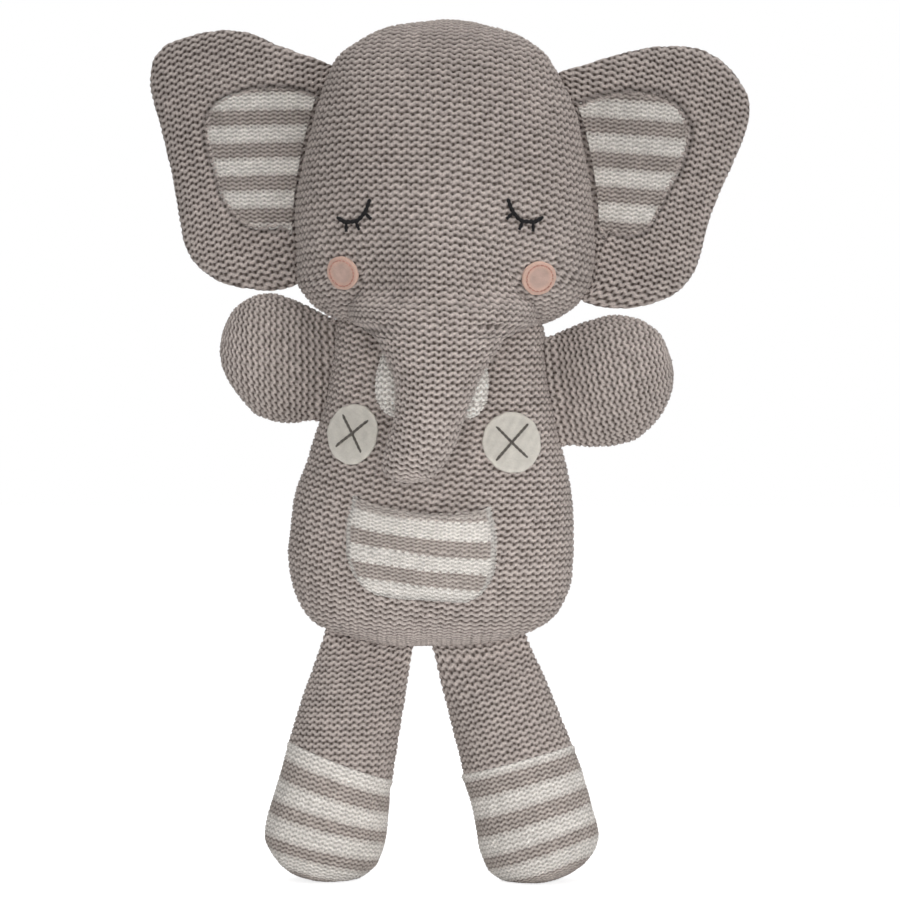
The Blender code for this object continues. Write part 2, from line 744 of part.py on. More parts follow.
def leg_stations(reach):
    stations = limb_stations(LEG_ROWS, reach, LEG_SEAM, FOOT_WIDTH, FOOT_DEPTH)
    depths = [-st.z for st in stations]
    w = float(np.interp(FOOT_START, depths, [st.w for st in stations]))
    d = float(np.interp(FOOT_START, depths, [st.d for st in stations]))
    upper = [st for st in stations if -st.z < FOOT_START - CUFF_ROOM]
    lower = [st for st in stations if -st.z > FOOT_START + CUFF_ROOM]
    cuff = Station(-FOOT_START, 0.0, 0.0, w, d)
    return upper, cuff, lower


def press_flat(bm, from_world):
    """Cut a form level with the floor and close it with a flat sole."""
    floor = from_world.translation
    up = from_world.to_3x3() @ Vector((0.0, 0.0, 1.0))
    bmesh.ops.bisect_plane(bm, geom=bm.verts[:] + bm.edges[:] + bm.faces[:], dist=1e-6,
                           plane_co=floor, plane_no=up, clear_inner=True)
    rim = [edge for edge in bm.edges if edge.is_boundary
           and all(abs((v.co - floor).dot(up)) < 1e-5 for v in edge.verts)]
    bmesh.ops.edgeloop_fill(bm, edges=rim)
    bmesh.ops.recalc_face_normals(bm, faces=bm.faces)


def build_leg(side, sign, torso):
    splay = math.radians(LEG_SPLAY[side])
    out = Vector((sign * math.sin(splay), 0.0, -math.cos(splay)))
    along = Vector((math.cos(splay), 0.0, sign * math.sin(splay)))
    body = body_stations()
    edge = outline(body, BODY_BASE_Z, NECK_Z + body[0].d)
    middle = body_centre(BODY_BASE_Z) + LEG_X[side]
    origin, fall = seat(edge, Vector((middle, 0.0, BODY_BASE_Z)), along, out, LEG_SEAM / 2)
    frame = limb_frame(origin, along, -out)
    joint = empty(f"leg_{side}", frame, torso)

    # The leg is as long as it takes to press the round foot onto the floor.
    reach = origin.z / math.cos(splay)
    for _ in range(4):
        upper, cuff, lower = leg_stations(reach)
        points = [frame @ p for st in lower for p in ring_points(st, LIMB_AROUND)]
        points.append(frame @ Vector((0.0, 0.0, -reach)))
        reach += (min(p.z for p in points) + SOLE_CUT) / math.cos(splay)

    rings = limb_rings(upper + [cuff], root_follow(fall, FOOT_START * ROOT_SHARE))
    foot_top = cuff._replace(z=cuff.z - CLEAR)
    foot = [ring_points(st, LIMB_AROUND) for st in [foot_top] + lower]
    tip = Vector((0.0, 0.0, -reach))
    cover(f"leg_{side}_cover", skin(rings), "yarn_taupe", joint)
    sole, filling = skin(foot, tip), skin(rings[2:] + foot[1:], tip)
    for bm in (sole, filling):
        press_flat(bm, frame.inverted())
    cover(f"foot_{side}_cover", sole, "yarn_striped", joint)
    stuffing(f"leg_{side}_stuffing", filling, joint, LIMB_AROUND)


# Ear: share of the reach, lower and upper edge along the seam, and thickness, as shares of the
# seam's half-length and of the full thickness.
EAR_ROWS = ((0.0, 1.0, 1.0, 0.0), (0.07, 1.12, 1.07, 0.55), (0.18, 1.155, 1.11, 0.82),
            (0.32, 1.12, 1.15, 0.96), (0.46, 1.025, 1.175, 1.0), (0.566, 0.863, 1.165, 1.0),
            (0.657, 0.58, 1.13, 0.98), (0.727, 0.31, 1.087, 0.95), (0.839, -0.10, 0.985, 0.87),
            (0.951, -0.41, 0.81, 0.66))
EAR_TIP = 0.60
LINING_ROWS = ((0.06, 0.54, 0.755), (0.163, 0.57, 0.745), (0.45, 0.58, 0.71), (0.535, 0.52, 0.685),
               (0.70, 0.30, 0.64), (0.84, 0.083, 0.58), (0.93, -0.104, 0.50), (1.0, -0.21, 0.375))


def ear_stations(sign):
    half = EAR_SEAM / 2
    stations = []
    for share, low, high, swell in EAR_ROWS:
        middle = -sign * (low - high) / 2 * half
        deep = max(SEAM_R, EAR_THICK / 2 * swell)
        stations.append(Station(-EAR_REACH * share, middle, 0.0, (low + high) / 2 * half, deep))
    return stations


def ear_front(stations, x, z):
    """Front face of an ear in its own frame."""
    st = section_at(stations, z)
    core_w, core_d = st.w - SEAM_R, st.d - SEAM_R
    side = min(abs(x - st.x) / core_w, 1.0)
    return Vector((x, -(SEAM_R + core_d * math.sqrt(1.0 - side * side)), z))


def build_ear(side, sign, head, to_head):
    tilt = math.radians(EAR_TILT[side])
    out = Vector((sign * math.cos(tilt), 0.0, math.sin(tilt)))
    along = Vector((-math.sin(tilt), 0.0, sign * math.cos(tilt)))
    stations = head_stations()
    st = section_at(stations, EAR_SEAM_Z[side])
    origin = Vector((st.x + sign * st.w, 0.0, EAR_SEAM_Z[side]))
    edge = outline(stations, HEAD_BASE_Z, HEAD_BASE_Z + HEAD_HEIGHT)
    origin, fall = seat(edge, origin, along, out, EAR_SEAM / 2)
    warp = root_follow(fall, EAR_REACH * ROOT_SHARE)
    origin.y = HEAD_Y + EAR_Y
    joint = empty(f"ear_{side}", to_head @ limb_frame(origin, along, -out), head)
    ear = ear_stations(sign)
    rings = limb_rings(ear, warp)
    tip = Vector((sign * EAR_SEAM / 2 * EAR_TIP, 0.0, -EAR_REACH))
    cover(f"ear_{side}_cover", skin(rings, tip), "yarn_taupe", joint)
    stuffing(f"ear_{side}_batting", skin(rings[3:], tip), joint, LIMB_AROUND)

    half = EAR_SEAM / 2

    def place(u, v):
        z = -(LINING_ROWS[0][0] + (1.0 - LINING_ROWS[0][0]) * v) * LINING_REACH
        share = -z / LINING_REACH
        low = -blend([(row[0], row[1]) for row in LINING_ROWS], share)
        high = blend([(row[0], row[2]) for row in LINING_ROWS], share)
        x = sign * half * ((low + high) / 2 + (high - low) / 2 * u)
        du = warp(ear_front(ear, x + PROBE, z)) - warp(ear_front(ear, x - PROBE, z))
        dz = warp(ear_front(ear, x, z + PROBE)) - warp(ear_front(ear, x, z - PROBE))
        return warp(ear_front(ear, x, z)), du.cross(dz).normalized()

    surface_patch(f"ear_{side}_lining", "yarn_striped", joint, place, 12, 10, FELT,
                  lambda u, v: CLEAR)


def centre_on_floor(root):
    """Put the middle of the part's box over the origin."""
    bpy.context.view_layer.update()
    low, high = Vector((1e9, 1e9, 1e9)), Vector((-1e9, -1e9, -1e9))
    for obj in bpy.data.objects:
        if obj.type != "MESH" or obj.hide_render:
            continue
        for v in obj.data.vertices:
            p = obj.matrix_world @ v.co
            low = Vector(map(min, low, p))
            high = Vector(map(max, high, p))
    root.location = (-(low.x + high.x) / 2, -(low.y + high.y) / 2, 0.0)


def main():
    clear_scene()
    toy = empty("toy", Matrix.Identity(4))
    torso = empty("torso", Matrix.Identity(4), toy)
    neck = Vector((body_centre(NECK_Z), 0.0, NECK_Z))
    head = empty("head", Matrix.Translation(neck), torso)
    to_head = Matrix.Translation(-neck)
    build_body(torso)
    build_pocket(torso)
    build_buttons(torso)
    build_head(head, to_head)
    build_face(head, to_head)
    trunk = empty("trunk", to_head @ Matrix.Translation((HEAD_X, TRUNK_Y, TRUNK_Z)), head)
    build_trunk(trunk)
    for side, sign in SIDES:
        build_tusk(side, sign, head, to_head)
        build_ear(side, sign, head, to_head)
        build_arm(side, sign, torso)
        build_leg(side, sign, torso)
    centre_on_floor(toy)
    bpy.context.view_layer.update()


main()
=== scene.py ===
"""The looks of the knitted stuffed elephant: every stitch is a form of the mesh, over the CAD frame.

Lengths are in metres. A form is worked out in the toy's own frame and moved to the frame's origin.
"""
import json
import math

import bpy
import numpy as np
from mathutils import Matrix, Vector


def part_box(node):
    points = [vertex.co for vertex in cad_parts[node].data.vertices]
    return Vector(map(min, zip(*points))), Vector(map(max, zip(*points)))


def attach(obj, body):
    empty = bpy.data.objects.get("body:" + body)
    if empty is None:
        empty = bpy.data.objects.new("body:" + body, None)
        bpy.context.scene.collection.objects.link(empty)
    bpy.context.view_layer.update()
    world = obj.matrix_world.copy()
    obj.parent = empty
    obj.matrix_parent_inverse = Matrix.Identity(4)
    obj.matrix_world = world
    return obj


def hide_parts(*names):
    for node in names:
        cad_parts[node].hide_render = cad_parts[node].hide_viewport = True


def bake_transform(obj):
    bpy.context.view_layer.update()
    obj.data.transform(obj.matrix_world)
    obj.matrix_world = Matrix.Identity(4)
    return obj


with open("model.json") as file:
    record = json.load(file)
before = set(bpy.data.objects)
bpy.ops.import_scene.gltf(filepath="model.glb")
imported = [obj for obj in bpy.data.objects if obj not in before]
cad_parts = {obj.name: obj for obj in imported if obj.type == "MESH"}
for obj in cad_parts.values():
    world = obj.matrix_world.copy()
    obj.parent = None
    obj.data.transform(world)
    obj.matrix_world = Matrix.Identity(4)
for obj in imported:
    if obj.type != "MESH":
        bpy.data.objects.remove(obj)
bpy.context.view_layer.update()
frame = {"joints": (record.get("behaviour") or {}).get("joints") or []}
JOINTS = {joint["name"]: joint for joint in frame["joints"]}
TURN, QUARTER = 2.0 * math.pi, math.pi / 2.0
FORE, UP, LEVEL = np.array((0.0, 1.0, 0.0)), np.array((0.0, 0.0, 1.0)), np.array((1.0, 1.0, 0.0))
SIDES = (("right", -1.0), ("left", 1.0))
FACES = ((-1.0, "front"), (1.0, "back"))

# Yarn and stitches. A gauge is the width and the height of one stitch.
PLAIN = (0.00460, 0.00312)
BELLY = (0.00445, 0.00292)
MITT = (0.00405, 0.00278)
FINE = (0.00350, 0.00209)
PATCH = (0.00345, 0.00180)
# The larger stitches get darker painted shade in their pits and lighter painted ridges.
CONTRAST = {PLAIN: 0.075, BELLY: 0.085}  # how much more the larger stitches' pits and ridges differ
COURSE_POINTS, WALE_POINTS = 6, 7        # mesh points for each course and each wale
HEAD_POINTS = (5.4, 6.5)                 # the same on the head, whose mesh is the largest
PROFILE_POINTS = 4000
SEAM_R, SEAM_DEEP, SEAM_HALF = 0.0024, 0.0011, 0.0016
CLEAR, HAIR, SLIVER = 0.0004, 1e-4, 1e-5
SEEDS = {"body": 11, "head": 21, "arm": 31, "leg": 41, "foot": 51, "tusk": 61, "ear": 71, "lining": 81,
         "pocket": 91, "button": 101, "cheek": 111}

TAUPE = np.array((0.560, 0.492, 0.458))
GREY = np.array((0.540, 0.478, 0.440))
WHITE = np.array((0.850, 0.810, 0.765))
TUSK_WHITE = np.minimum(WHITE * 1.09, 0.93)
EAR_WHITE, EAR_GREY = WHITE * 0.99, GREY * 0.90
HEM_SHADE, BORDER_SHADE = GREY * 0.80 + WHITE * 0.20, WHITE * 0.80
FELT_CREAM = np.array((0.690, 0.655, 0.590))
FELT_PEACH = np.array((0.695, 0.470, 0.385))
# Greyer, darker pink towards which the middle of a cheek is mixed.
FELT_GREYED = np.array((0.580, 0.420, 0.370))
THREAD_GREY = np.array((0.150, 0.136, 0.120))
THREAD_BLACK = np.array((0.018, 0.017, 0.018))
THREAD_PINK = np.array((0.620, 0.330, 0.270))

# Body, as in the CAD source.
BODY_BASE_Z, BODY_WIDEST_Z, NECK_Z = 0.1027, 0.1460, 0.2330
BODY_WIDTH, BODY_DEPTH = 0.1252, 0.0740
NECK_WIDTH, NECK_DEPTH, NECK_DOME = 0.0930, 0.0520, 0.021
BODY_X, BODY_LEAN, BODY_BULGE = -0.0085, 0.030, 0.0011
FULLNESS, NECK_FULLNESS = 2.25, 3.4
NECK_X = BODY_X + BODY_LEAN * (NECK_Z - BODY_BASE_Z)
SHIFT = np.array(JOINTS["neck_nod"]["pos_m"]) - np.array((NECK_X, 0.0, NECK_Z))

# Head and trunk.
HEAD_X, HEAD_LEAN = -0.0022, 0.0010
HEAD_BASE_Z, HEAD_HEIGHT = 0.2420, 0.1376
HEAD_TOP_Z = HEAD_BASE_Z + HEAD_HEIGHT
HEAD_WIDTH, HEAD_DEPTH = 0.1332, 0.0940
TRUNK_Y, TRUNK_Z = -0.0420, 0.2660
TRUNK_WIDTH, TRUNK_ROOT_R, TRUNK_LENGTH = 0.0580, 0.0220, 0.0895
TRUNK_TIP_WIDTH, TRUNK_TIP_DEPTH = 0.0270, 0.0250
TRUNK_BOW, TRUNK_BEND = 0.0180, 0.0132

# Limbs and ears.
EAR_REACH, EAR_SEAM, EAR_THICK = 0.0715, 0.0966, 0.0112
ARM_HEIGHT, ARM_THICK = 0.0530, 0.0316
ARM_REACH = {"right": 0.0461, "left": 0.0515}
FOOT_WIDTH, FOOT_DEPTH = 0.0534, 0.0560
FOOT_START, SOLE_CUT, ROOT_SHARE = 0.0520, 0.0015, 0.45


# Curves and noise.
def unit(t):
    return np.clip(t, 0.0, 1.0)


def ease(t):
    t = unit(t)
    return t * t * (3.0 - 2.0 * t)


def ramp(t, start, over):
    """Smooth rise from 0 at the start to 1 that far on."""
    return ease((t - start) / over)


def fade(t, end, over):
    """Smooth fall to 0 at the end, from 1 that far before it."""
    return ease((end - t) / over)


def bell(t, width):
    return np.exp(-(t / width) ** 2)


def hermite(u, step, start, end, start_slope, end_slope):
    """Cubic curve between two values, at the share u of a step."""
    return ((2 * u ** 3 - 3 * u ** 2 + 1) * start + (u ** 3 - 2 * u ** 2 + u) * step * start_slope
            + (3 * u ** 2 - 2 * u ** 3) * end + (u ** 3 - u ** 2) * step * end_slope)


def smooth(places, values, t):
    """Smooth curve through the values of a table, which never overshoots them."""
    places, values, t = (np.asarray(v, float) for v in (places, values, t))
    step = np.diff(places)
    slope = np.diff(values) / step
    pair = slope[:-1] * slope[1:]
    total = slope[:-1] + slope[1:]
    tangent = np.zeros_like(values)
    tangent[1:-1] = np.where(pair > 0.0, 2.0 * pair / np.where(total == 0.0, 1.0, total), 0.0)
    tangent[0], tangent[-1] = slope[0], slope[-1]
    k = np.clip(np.searchsorted(places, t, side="right") - 1, 0, len(step) - 1)
    u = unit((t - places[k]) / step[k])
    return hermite(u, step[k], values[k], values[k + 1], tangent[k], tangent[k + 1])


def column(rows, t, index):
    return smooth([row[0] for row in rows], [row[index] for row in rows], t)


def ripple(points, length, seed):
    """Soft uneven swelling, about -1 to 1, with waves of about the given length."""
    rng = np.random.default_rng(seed)
    total = np.zeros(points.shape[:-1])
    for _ in range(7):
        way = rng.normal(size=3)
        way *= TURN / (length * rng.uniform(0.7, 1.5)) / np.linalg.norm(way)
        total += np.sin(points @ way + rng.uniform(0.0, 6.28))
    return total / 3.2


def waves(points, table, seed):
    """Sum of ripples, each with a size, a wave length and a step of the seed."""
    return sum(size * ripple(points, length, seed + step) for size, length, step in table)


def patchwork(a, b, seed):
    """One even random number from 0 to 1 for each stitch."""
    cell = np.floor(a) * 127.1 + np.floor(b) * 311.7 + seed * 17.3
    return np.modf(np.abs(np.sin(cell) * 43758.5453))[0]


def lengths(line):
    """Distance of each point along a line of points."""
    return np.concatenate(([0.0], np.cumsum(np.linalg.norm(np.diff(line, axis=0), axis=1))))


def spread(line, count):
    """Evenly spaced points along a line of points, and their distance along it."""
    s = lengths(line)
    at = np.linspace(0.0, s[-1], count)
    return np.stack([np.interp(at, s, line[:, k]) for k in range(line.shape[1])], axis=1), at


def fine_end(first, turn, last, coarse, fine):
    """Places from first to a turn, and then on to last, where they are closer together."""
    return np.concatenate((np.linspace(first, turn, coarse), np.linspace(turn, last, fine)[1:]))


def arc_rows(places, across, along, gauge, per_course=COURSE_POINTS):
    """Places along a profile, evenly spaced over its length, and the course number at each."""
    s = lengths(np.stack((across, along), axis=1))
    count = max(int(s[-1] / gauge[1] * per_course), 8)
    at = np.linspace(0.0, s[-1], count)
    return np.interp(at, s, places), at / gauge[1]


# Stitches. Shares of a course: the yarn's radius and how far its loops reach up and stand out.
# A share of a wale: how far they lean.
YARN_R, LOOP_REACH, LOOP_RISE, LOOP_LEAN = 0.250, 0.70, 0.12, 0.085
TILE_COLS, TILE_ROWS, LOOP_POINTS = 72, 56, 260


def stitch_tile(gauge):
    """Height of one purl stitch, as loops of round yarn seen from above, and the course of each loop."""
    wale, course = gauge
    radius = YARN_R * course
    t = np.linspace(0.0, TURN, LOOP_POINTS, endpoint=False)
    path_x = wale * t / TURN + LOOP_LEAN * wale * np.sin(2.0 * t)
    path_y = LOOP_REACH * course * np.cos(t)
    path_z = LOOP_RISE * course * np.cos(2.0 * t)
    gx, gy = np.meshgrid((np.arange(TILE_COLS) + 0.5) / TILE_COLS * wale,
                         (np.arange(TILE_ROWS) + 0.5) / TILE_ROWS * course)
    height = np.full(gx.shape, -1.0)
    owner = np.zeros(gx.shape, int)
    for row in range(-2, 4):
        for col in (-1, 0, 1):
            dx = gx[..., None] - (path_x + col * wale)
            dy = gy[..., None] - (path_y + row * course)
            room = radius ** 2 - dx ** 2 - dy ** 2
            top = np.where(room > 0.0, path_z + np.sqrt(np.maximum(room, 0.0)), -1.0).max(axis=-1)
            owner = np.where(top > height, row, owner)
            height = np.maximum(height, top)
    height -= height.max()
    floor = -2.0 * radius
    return np.maximum(height, floor), owner, -floor


TILES = {gauge: stitch_tile(gauge) for gauge in (PLAIN, BELLY, MITT, FINE, PATCH)}


def stitch_height(gauge, a, b):
    """Height of the knit at stitch place (a, b), how deep in a pit that is, and the yarn's course."""
    tile, owner, depth = TILES[gauge]
    rows, cols = tile.shape
    x, y = (a % 1.0) * cols - 0.5, (b % 1.0) * rows - 0.5
    x0, y0 = np.floor(x).astype(int), np.floor(y).astype(int)
    fx, fy = x - x0, y - y0
    x0, x1, y0, y1 = x0 % cols, (x0 + 1) % cols, y0 % rows, (y0 + 1) % rows
    low = tile[y0, x0] * (1 - fx) + tile[y0, x1] * fx
    high = tile[y1, x0] * (1 - fx) + tile[y1, x1] * fx
    height = low * (1 - fy) + high * fy
    return height, -height / depth, np.floor(b) + owner[y0, x0]


def normals(points, outward):
    """Directions square to a grid of points, on the side that outward is on."""
    n = np.cross(np.gradient(points, axis=1), np.gradient(points, axis=0))
    size = np.linalg.norm(n, axis=2, keepdims=True)
    n = n / np.maximum(size, 1e-15)
    return n if np.sum(n * outward) >= 0.0 else -n


def grid_object(name, points, colours, flip):
    """Mesh of a grid of points with one colour a point, and its own unwrapped map."""
    rows, cols = points.shape[:2]
    index = np.arange(rows * cols).reshape(rows, cols)
    quads = np.stack((index[:-1, :-1], index[:-1, 1:], index[1:, 1:], index[1:, :-1]), axis=-1)
    quads = quads.reshape(-1, 4)
    if flip:
        quads = quads[:, ::-1]
    mesh = bpy.data.meshes.new(name)
    mesh.vertices.add(rows * cols)
    mesh.vertices.foreach_set("co", points.astype(np.float32).ravel())
    mesh.loops.add(quads.size)
    mesh.loops.foreach_set("vertex_index", quads.astype(np.int32).ravel())
    mesh.polygons.add(len(quads))
    mesh.polygons.foreach_set("loop_start", (np.arange(len(quads)) * 4).astype(np.int32))
    mesh.update(calc_edges=True)
    mesh.polygons.foreach_set("use_smooth", np.ones(len(quads), bool))
    layer = mesh.uv_layers.new(name="OFBake")
    flat = np.stack(((quads % cols) / (cols - 1), (quads // cols) / (rows - 1)), axis=-1)
    layer.data.foreach_set("uv", flat.astype(np.float32).ravel())
    # The colour of each point carries the painted shade of the knit's pits and creases and of the threads'
    # plies.
    tint = mesh.attributes.new("yarn", "FLOAT_COLOR", "POINT")
    rgba = np.concatenate((colours, np.ones((rows, cols, 1))), axis=2)
    tint.data.foreach_set("color", rgba.astype(np.float32).ravel())
    mesh.validate()
    obj = bpy.data.objects.new(name, mesh)
    bpy.context.scene.collection.objects.link(obj)
    return obj


# How uneven the knit is: rows of a size, a wave length and a step of the seed. The sizes of the sways are in
# stitches, those of the lumps in metres, and the others are shares.
WALE_SWAY = ((0.055, 0.009, 1), (0.030, 0.004, 6))
COURSE_SWAY = ((0.060, 0.010, 2), (0.035, 0.004, 7))
LUMPS = ((0.00045, 0.030, 3), (0.00013, 0.008, 4))
CLOUDS = ((0.035, 0.05, 5),)
PIT_UNEVEN = ((0.16, 0.005, 8),)
KNIT_SINK, FLOOR_RELIEF, STITCH_SHADE = 0.0003, 0.15, 0.12
# From which green on a shade counts as pale, and over how much more it becomes fully so.
PALE_FROM, PALE_OVER = 0.45, 0.28
# Painted shade in the pits between the stitches: how dark it is, how much less in pale and more in fine
# knit, how far it reaches and how softly.
PIT_DARK, PIT_PALE, PIT_FINE, PIT_REACH, PIT_SOFT = 0.97, 0.34, 0.14, 1.2, 1.15
# How much lighter the ridges are painted, and the tint of the painted shade in the pits.
RIDGE_LIGHT, PIT_SHADE_TINT = 1.10, np.array((0.98, 1.0, 1.015))
OWN_SHARE, NEAR_SHARE = 0.45, 0.55   # how much of a stripe's colour is the loop's own and the nearest row's


def nearest_course(a, b):
    """Course whose ridge is nearest, by the zigzag of the stitches."""
    return np.floor(b + 0.5 + 0.25 * np.cos(TURN * a))


def knit(name, points, a, b, gauge, outward, colour, seed, groove=0.0, floor=None, n=None, relief=1.0,
         painted_shade=1.0):
    """Knitted fabric over a grid of points: (a, b) are wales and courses.

    The colour is one shade, a grid of shades or a pattern of stripes by course.
    """
    if n is None:
        n = normals(points, outward)
    loose_a, loose_b = a + waves(points, WALE_SWAY, seed), b + waves(points, COURSE_SWAY, seed)
    height, pit, course = stitch_height(gauge, loose_a, loose_b)
    lift = height * relief + waves(points, LUMPS, seed) - KNIT_SINK - groove
    shown = points + n * lift[..., None]
    if floor is not None:
        shown[..., 2] = np.maximum(shown[..., 2], floor + FLOOR_RELIEF * (lift - lift.min()))
    shade = 1.0 + STITCH_SHADE * (patchwork(loose_a, loose_b, seed) - 0.5) + waves(points, CLOUDS, seed)
    if callable(colour):
        colour = OWN_SHARE * colour(course) + NEAR_SHARE * colour(nearest_course(loose_a, loose_b))
    tint = np.broadcast_to(colour, points.shape) * shade[..., None]
    # Painted shade and light: the pits between the stitches are darkened, less in pale yarn, the ridges are
    # made lighter, and any further painted shade that is given is multiplied in.
    pale = unit((tint[..., 1] - PALE_FROM) / PALE_OVER)
    rich = CONTRAST.get(gauge, 0.0)
    deep = (PIT_DARK - PIT_PALE * pale) * np.minimum(gauge[1] / PLAIN[1] + PIT_FINE, 1.0) + rich
    pit_shade = deep * ease(pit * (PIT_REACH + rich + waves(points, PIT_UNEVEN, seed))) ** PIT_SOFT
    tint = tint * (RIDGE_LIGHT + rich - pit_shade[..., None] * PIT_SHADE_TINT) * np.asarray(painted_shade)[..., None]
    turn = np.cross(points[1:, :-1] - points[:-1, :-1], points[:-1, 1:] - points[:-1, :-1])
    flip = np.sum(turn * n[:-1, :-1]) > 0.0
    return grid_object(name, shown + SHIFT, unit(tint), flip)


def stripes(counts, first, second):
    """Colour of each course: stripes of so many courses, two shades in turn, and the last one goes on."""
    edges = np.cumsum(counts)

    def shade(course):
        odd = np.searchsorted(edges, course, side="right") % 2
        return first + (second - first) * odd[..., None]
    return shade


def dress(obj, body, mat, nodes):
    """Give a piece its material and its body, and hide the CAD nodes that it stands for."""
    obj.data.materials.clear()
    obj.data.materials.append(mat)
    if body:
        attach(obj, body)
    if nodes:
        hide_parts(*nodes)
    return obj


# Materials. Each layer of fibres has a scale, a detail and a distortion, and the shades it runs between.
YARN_LAYERS = ((1500.0, 4.0, 0.0, 0.70, 1.26), (260.0, 2.0, 0.0, 0.93, 1.07))
FELT_LAYERS = ((2600.0, 5.0, 1.6, 0.84, 1.12),)
SHINE, SHEEN_ROUGH, NOISE_ROUGH, NOISE_LOW, NOISE_HIGH, BUMP_DEEP = 0.18, 0.55, 0.6, 0.3, 0.7, 0.0002


def set_inputs(node, values):
    for key, value in values.items():
        node.inputs[key].default_value = value


def add_node(tree, kind, values=None, operation=None):
    """New shader node with some of its inputs set."""
    node = tree.nodes.new("ShaderNode" + kind)
    if operation:
        node.operation = operation
    set_inputs(node, values or {})
    return node


def fibre_material(name, roughness, sheen, bumps, layers):
    """Matt fibres: the mesh's colours, painted shade included, lighter and darker by layers, on a fibrous
    surface.
    """
    mat = bpy.data.materials.new(name)
    mat.use_nodes = True
    tree = mat.node_tree
    links = tree.links
    shader = tree.nodes["Principled BSDF"]
    set_inputs(shader, {"Roughness": roughness, "Specular IOR Level": SHINE, "Sheen Weight": sheen,
                        "Sheen Roughness": SHEEN_ROUGH})
    coords = add_node(tree, "TexCoord")
    tint = add_node(tree, "Attribute")
    tint.attribute_name = "yarn"
    shown = tint.outputs["Color"]
    bump = add_node(tree, "Bump", {"Strength": bumps, "Distance": BUMP_DEEP})
    for scale, detail, distortion, low, high in layers:
        noise = add_node(tree, "TexNoise", {"Scale": scale, "Detail": detail, "Roughness": NOISE_ROUGH,
                                            "Distortion": distortion})
        links.new(coords.outputs["Object"], noise.inputs["Vector"])
        shade = add_node(tree, "MapRange", {"From Min": NOISE_LOW, "From Max": NOISE_HIGH, "To Min": low,
                                            "To Max": high})
        links.new(noise.outputs["Fac"], shade.inputs["Value"])
        mixed = add_node(tree, "VectorMath", operation="SCALE")
        links.new(shown, mixed.inputs[0])
        links.new(shade.outputs["Result"], mixed.inputs["Scale"])
        shown = mixed.outputs["Vector"]
        if not bump.inputs["Height"].is_linked:
            links.new(noise.outputs["Fac"], bump.inputs["Height"])
    links.new(shown, shader.inputs["Base Color"])
    links.new(bump.outputs["Normal"], shader.inputs["Normal"])
    return mat


YARN = fibre_material("knitted_yarn", 0.92, 0.08, 0.35, YARN_LAYERS)
FELT_LOOK = fibre_material("felt", 0.95, 0.35, 0.5, FELT_LAYERS)
THREAD_LOOK = fibre_material("thread", 0.92, 0.08, 0.35, YARN_LAYERS)

# Forms of the body and the head. Rows are a share of the height, and shares of the half-width and half-depth
# there. The body's rise has one share for both.
BODY_RISE = ((0.0, 1.0), (0.25, 0.90), (0.50, 0.58), (0.79, 0.18), (1.0, 0.0))
BODY_DROP = ((0.0, 1.0, 1.0), (0.32, 0.985, 0.96), (0.55, 0.935, 0.86), (0.72, 0.855, 0.73),
             (0.855, 0.69, 0.55), (0.94, 0.48, 0.37), (0.985, 0.26, 0.20), (1.0, 0.0, 0.0))
HEAD_ROWS = ((0.0, 0.0, 0.0), (0.006, 0.19, 0.12), (0.022, 0.375, 0.25), (0.062, 0.565, 0.43),
             (0.128, 0.722, 0.62), (0.243, 0.83, 0.81), (0.417, 0.93, 0.95), (0.584, 0.984, 1.0),
             (0.736, 1.0, 1.0), (0.838, 0.984, 0.935), (0.900, 0.905, 0.84), (0.945, 0.80, 0.70),
             (0.980, 0.62, 0.50), (1.0, 0.0, 0.0))
# Heights at which the body's bulge starts and ends and the head's lean starts, and the lengths these take.
BULGE_START, BULGE_END, LEAN_START = (0.114, 0.030), (0.205, 0.045), (0.335, 0.035)
BODY_SKEW = (0.125, 0.14, 1.6)      # tilt of the rows, lean of the wales and bow of the rows
ROW_WIDE, ROW_DEEP = 0.35, 0.65     # how much a bag's width and depth set the spacing of its rows
HALF_POINTS, SURFACE_STEP = 181, 0.0008


def body_bulge(z):
    """How much fuller the body is on the toy's right, half as width and half as shift."""
    return BODY_BULGE * ramp(z, *BULGE_START) * fade(z, *BULGE_END)


def body_middle(z):
    return BODY_X + BODY_LEAN * (z - BODY_BASE_Z) - body_bulge(z)


def head_middle(z):
    return HEAD_X - HEAD_LEAN * ramp(np.asarray(z, float), *LEAN_START)


def body_section(z):
    """Half-width, half-depth and squareness of the body at heights z, over the dome to its top."""
    z = np.asarray(z, float)
    up = unit((z - BODY_WIDEST_Z) / (NECK_Z - BODY_WIDEST_Z))
    down = unit((BODY_WIDEST_Z - z) / (BODY_WIDEST_Z - BODY_BASE_Z))
    swell = column(BODY_RISE, up, 1)
    w = NECK_WIDTH / 2 + (BODY_WIDTH - NECK_WIDTH) / 2 * swell
    d = NECK_DEPTH / 2 + (BODY_DEPTH - NECK_DEPTH) / 2 * swell
    full = FULLNESS + (NECK_FULLNESS - FULLNESS) * up ** 2
    w = w * column(BODY_DROP, down, 1)
    d = d * column(BODY_DROP, down, 2)
    rise = np.clip((z - NECK_Z) / (NECK_DEPTH / 2), 0.0, 0.999)
    w = w * (1.0 - rise ** full) ** (1.0 / full)
    d = d * np.sqrt(1.0 - rise ** 2)
    return w + body_bulge(z), d, full


def head_section(z):
    drop = unit((HEAD_TOP_Z - np.asarray(z, float)) / HEAD_HEIGHT)
    w = HEAD_WIDTH / 2 * column(HEAD_ROWS, drop, 1)
    d = HEAD_DEPTH / 2 * column(HEAD_ROWS, drop, 2)
    return w, d, np.full_like(w, FULLNESS)


def front_depth(section, x, z):
    """How far the front of a form stands out at x from its middle and height z."""
    w, d, full = section(z)
    side = unit(np.abs(x) / np.maximum(w, 1e-6))
    return d * np.maximum(1.0 - side ** full, 0.0) ** (1.0 / full)


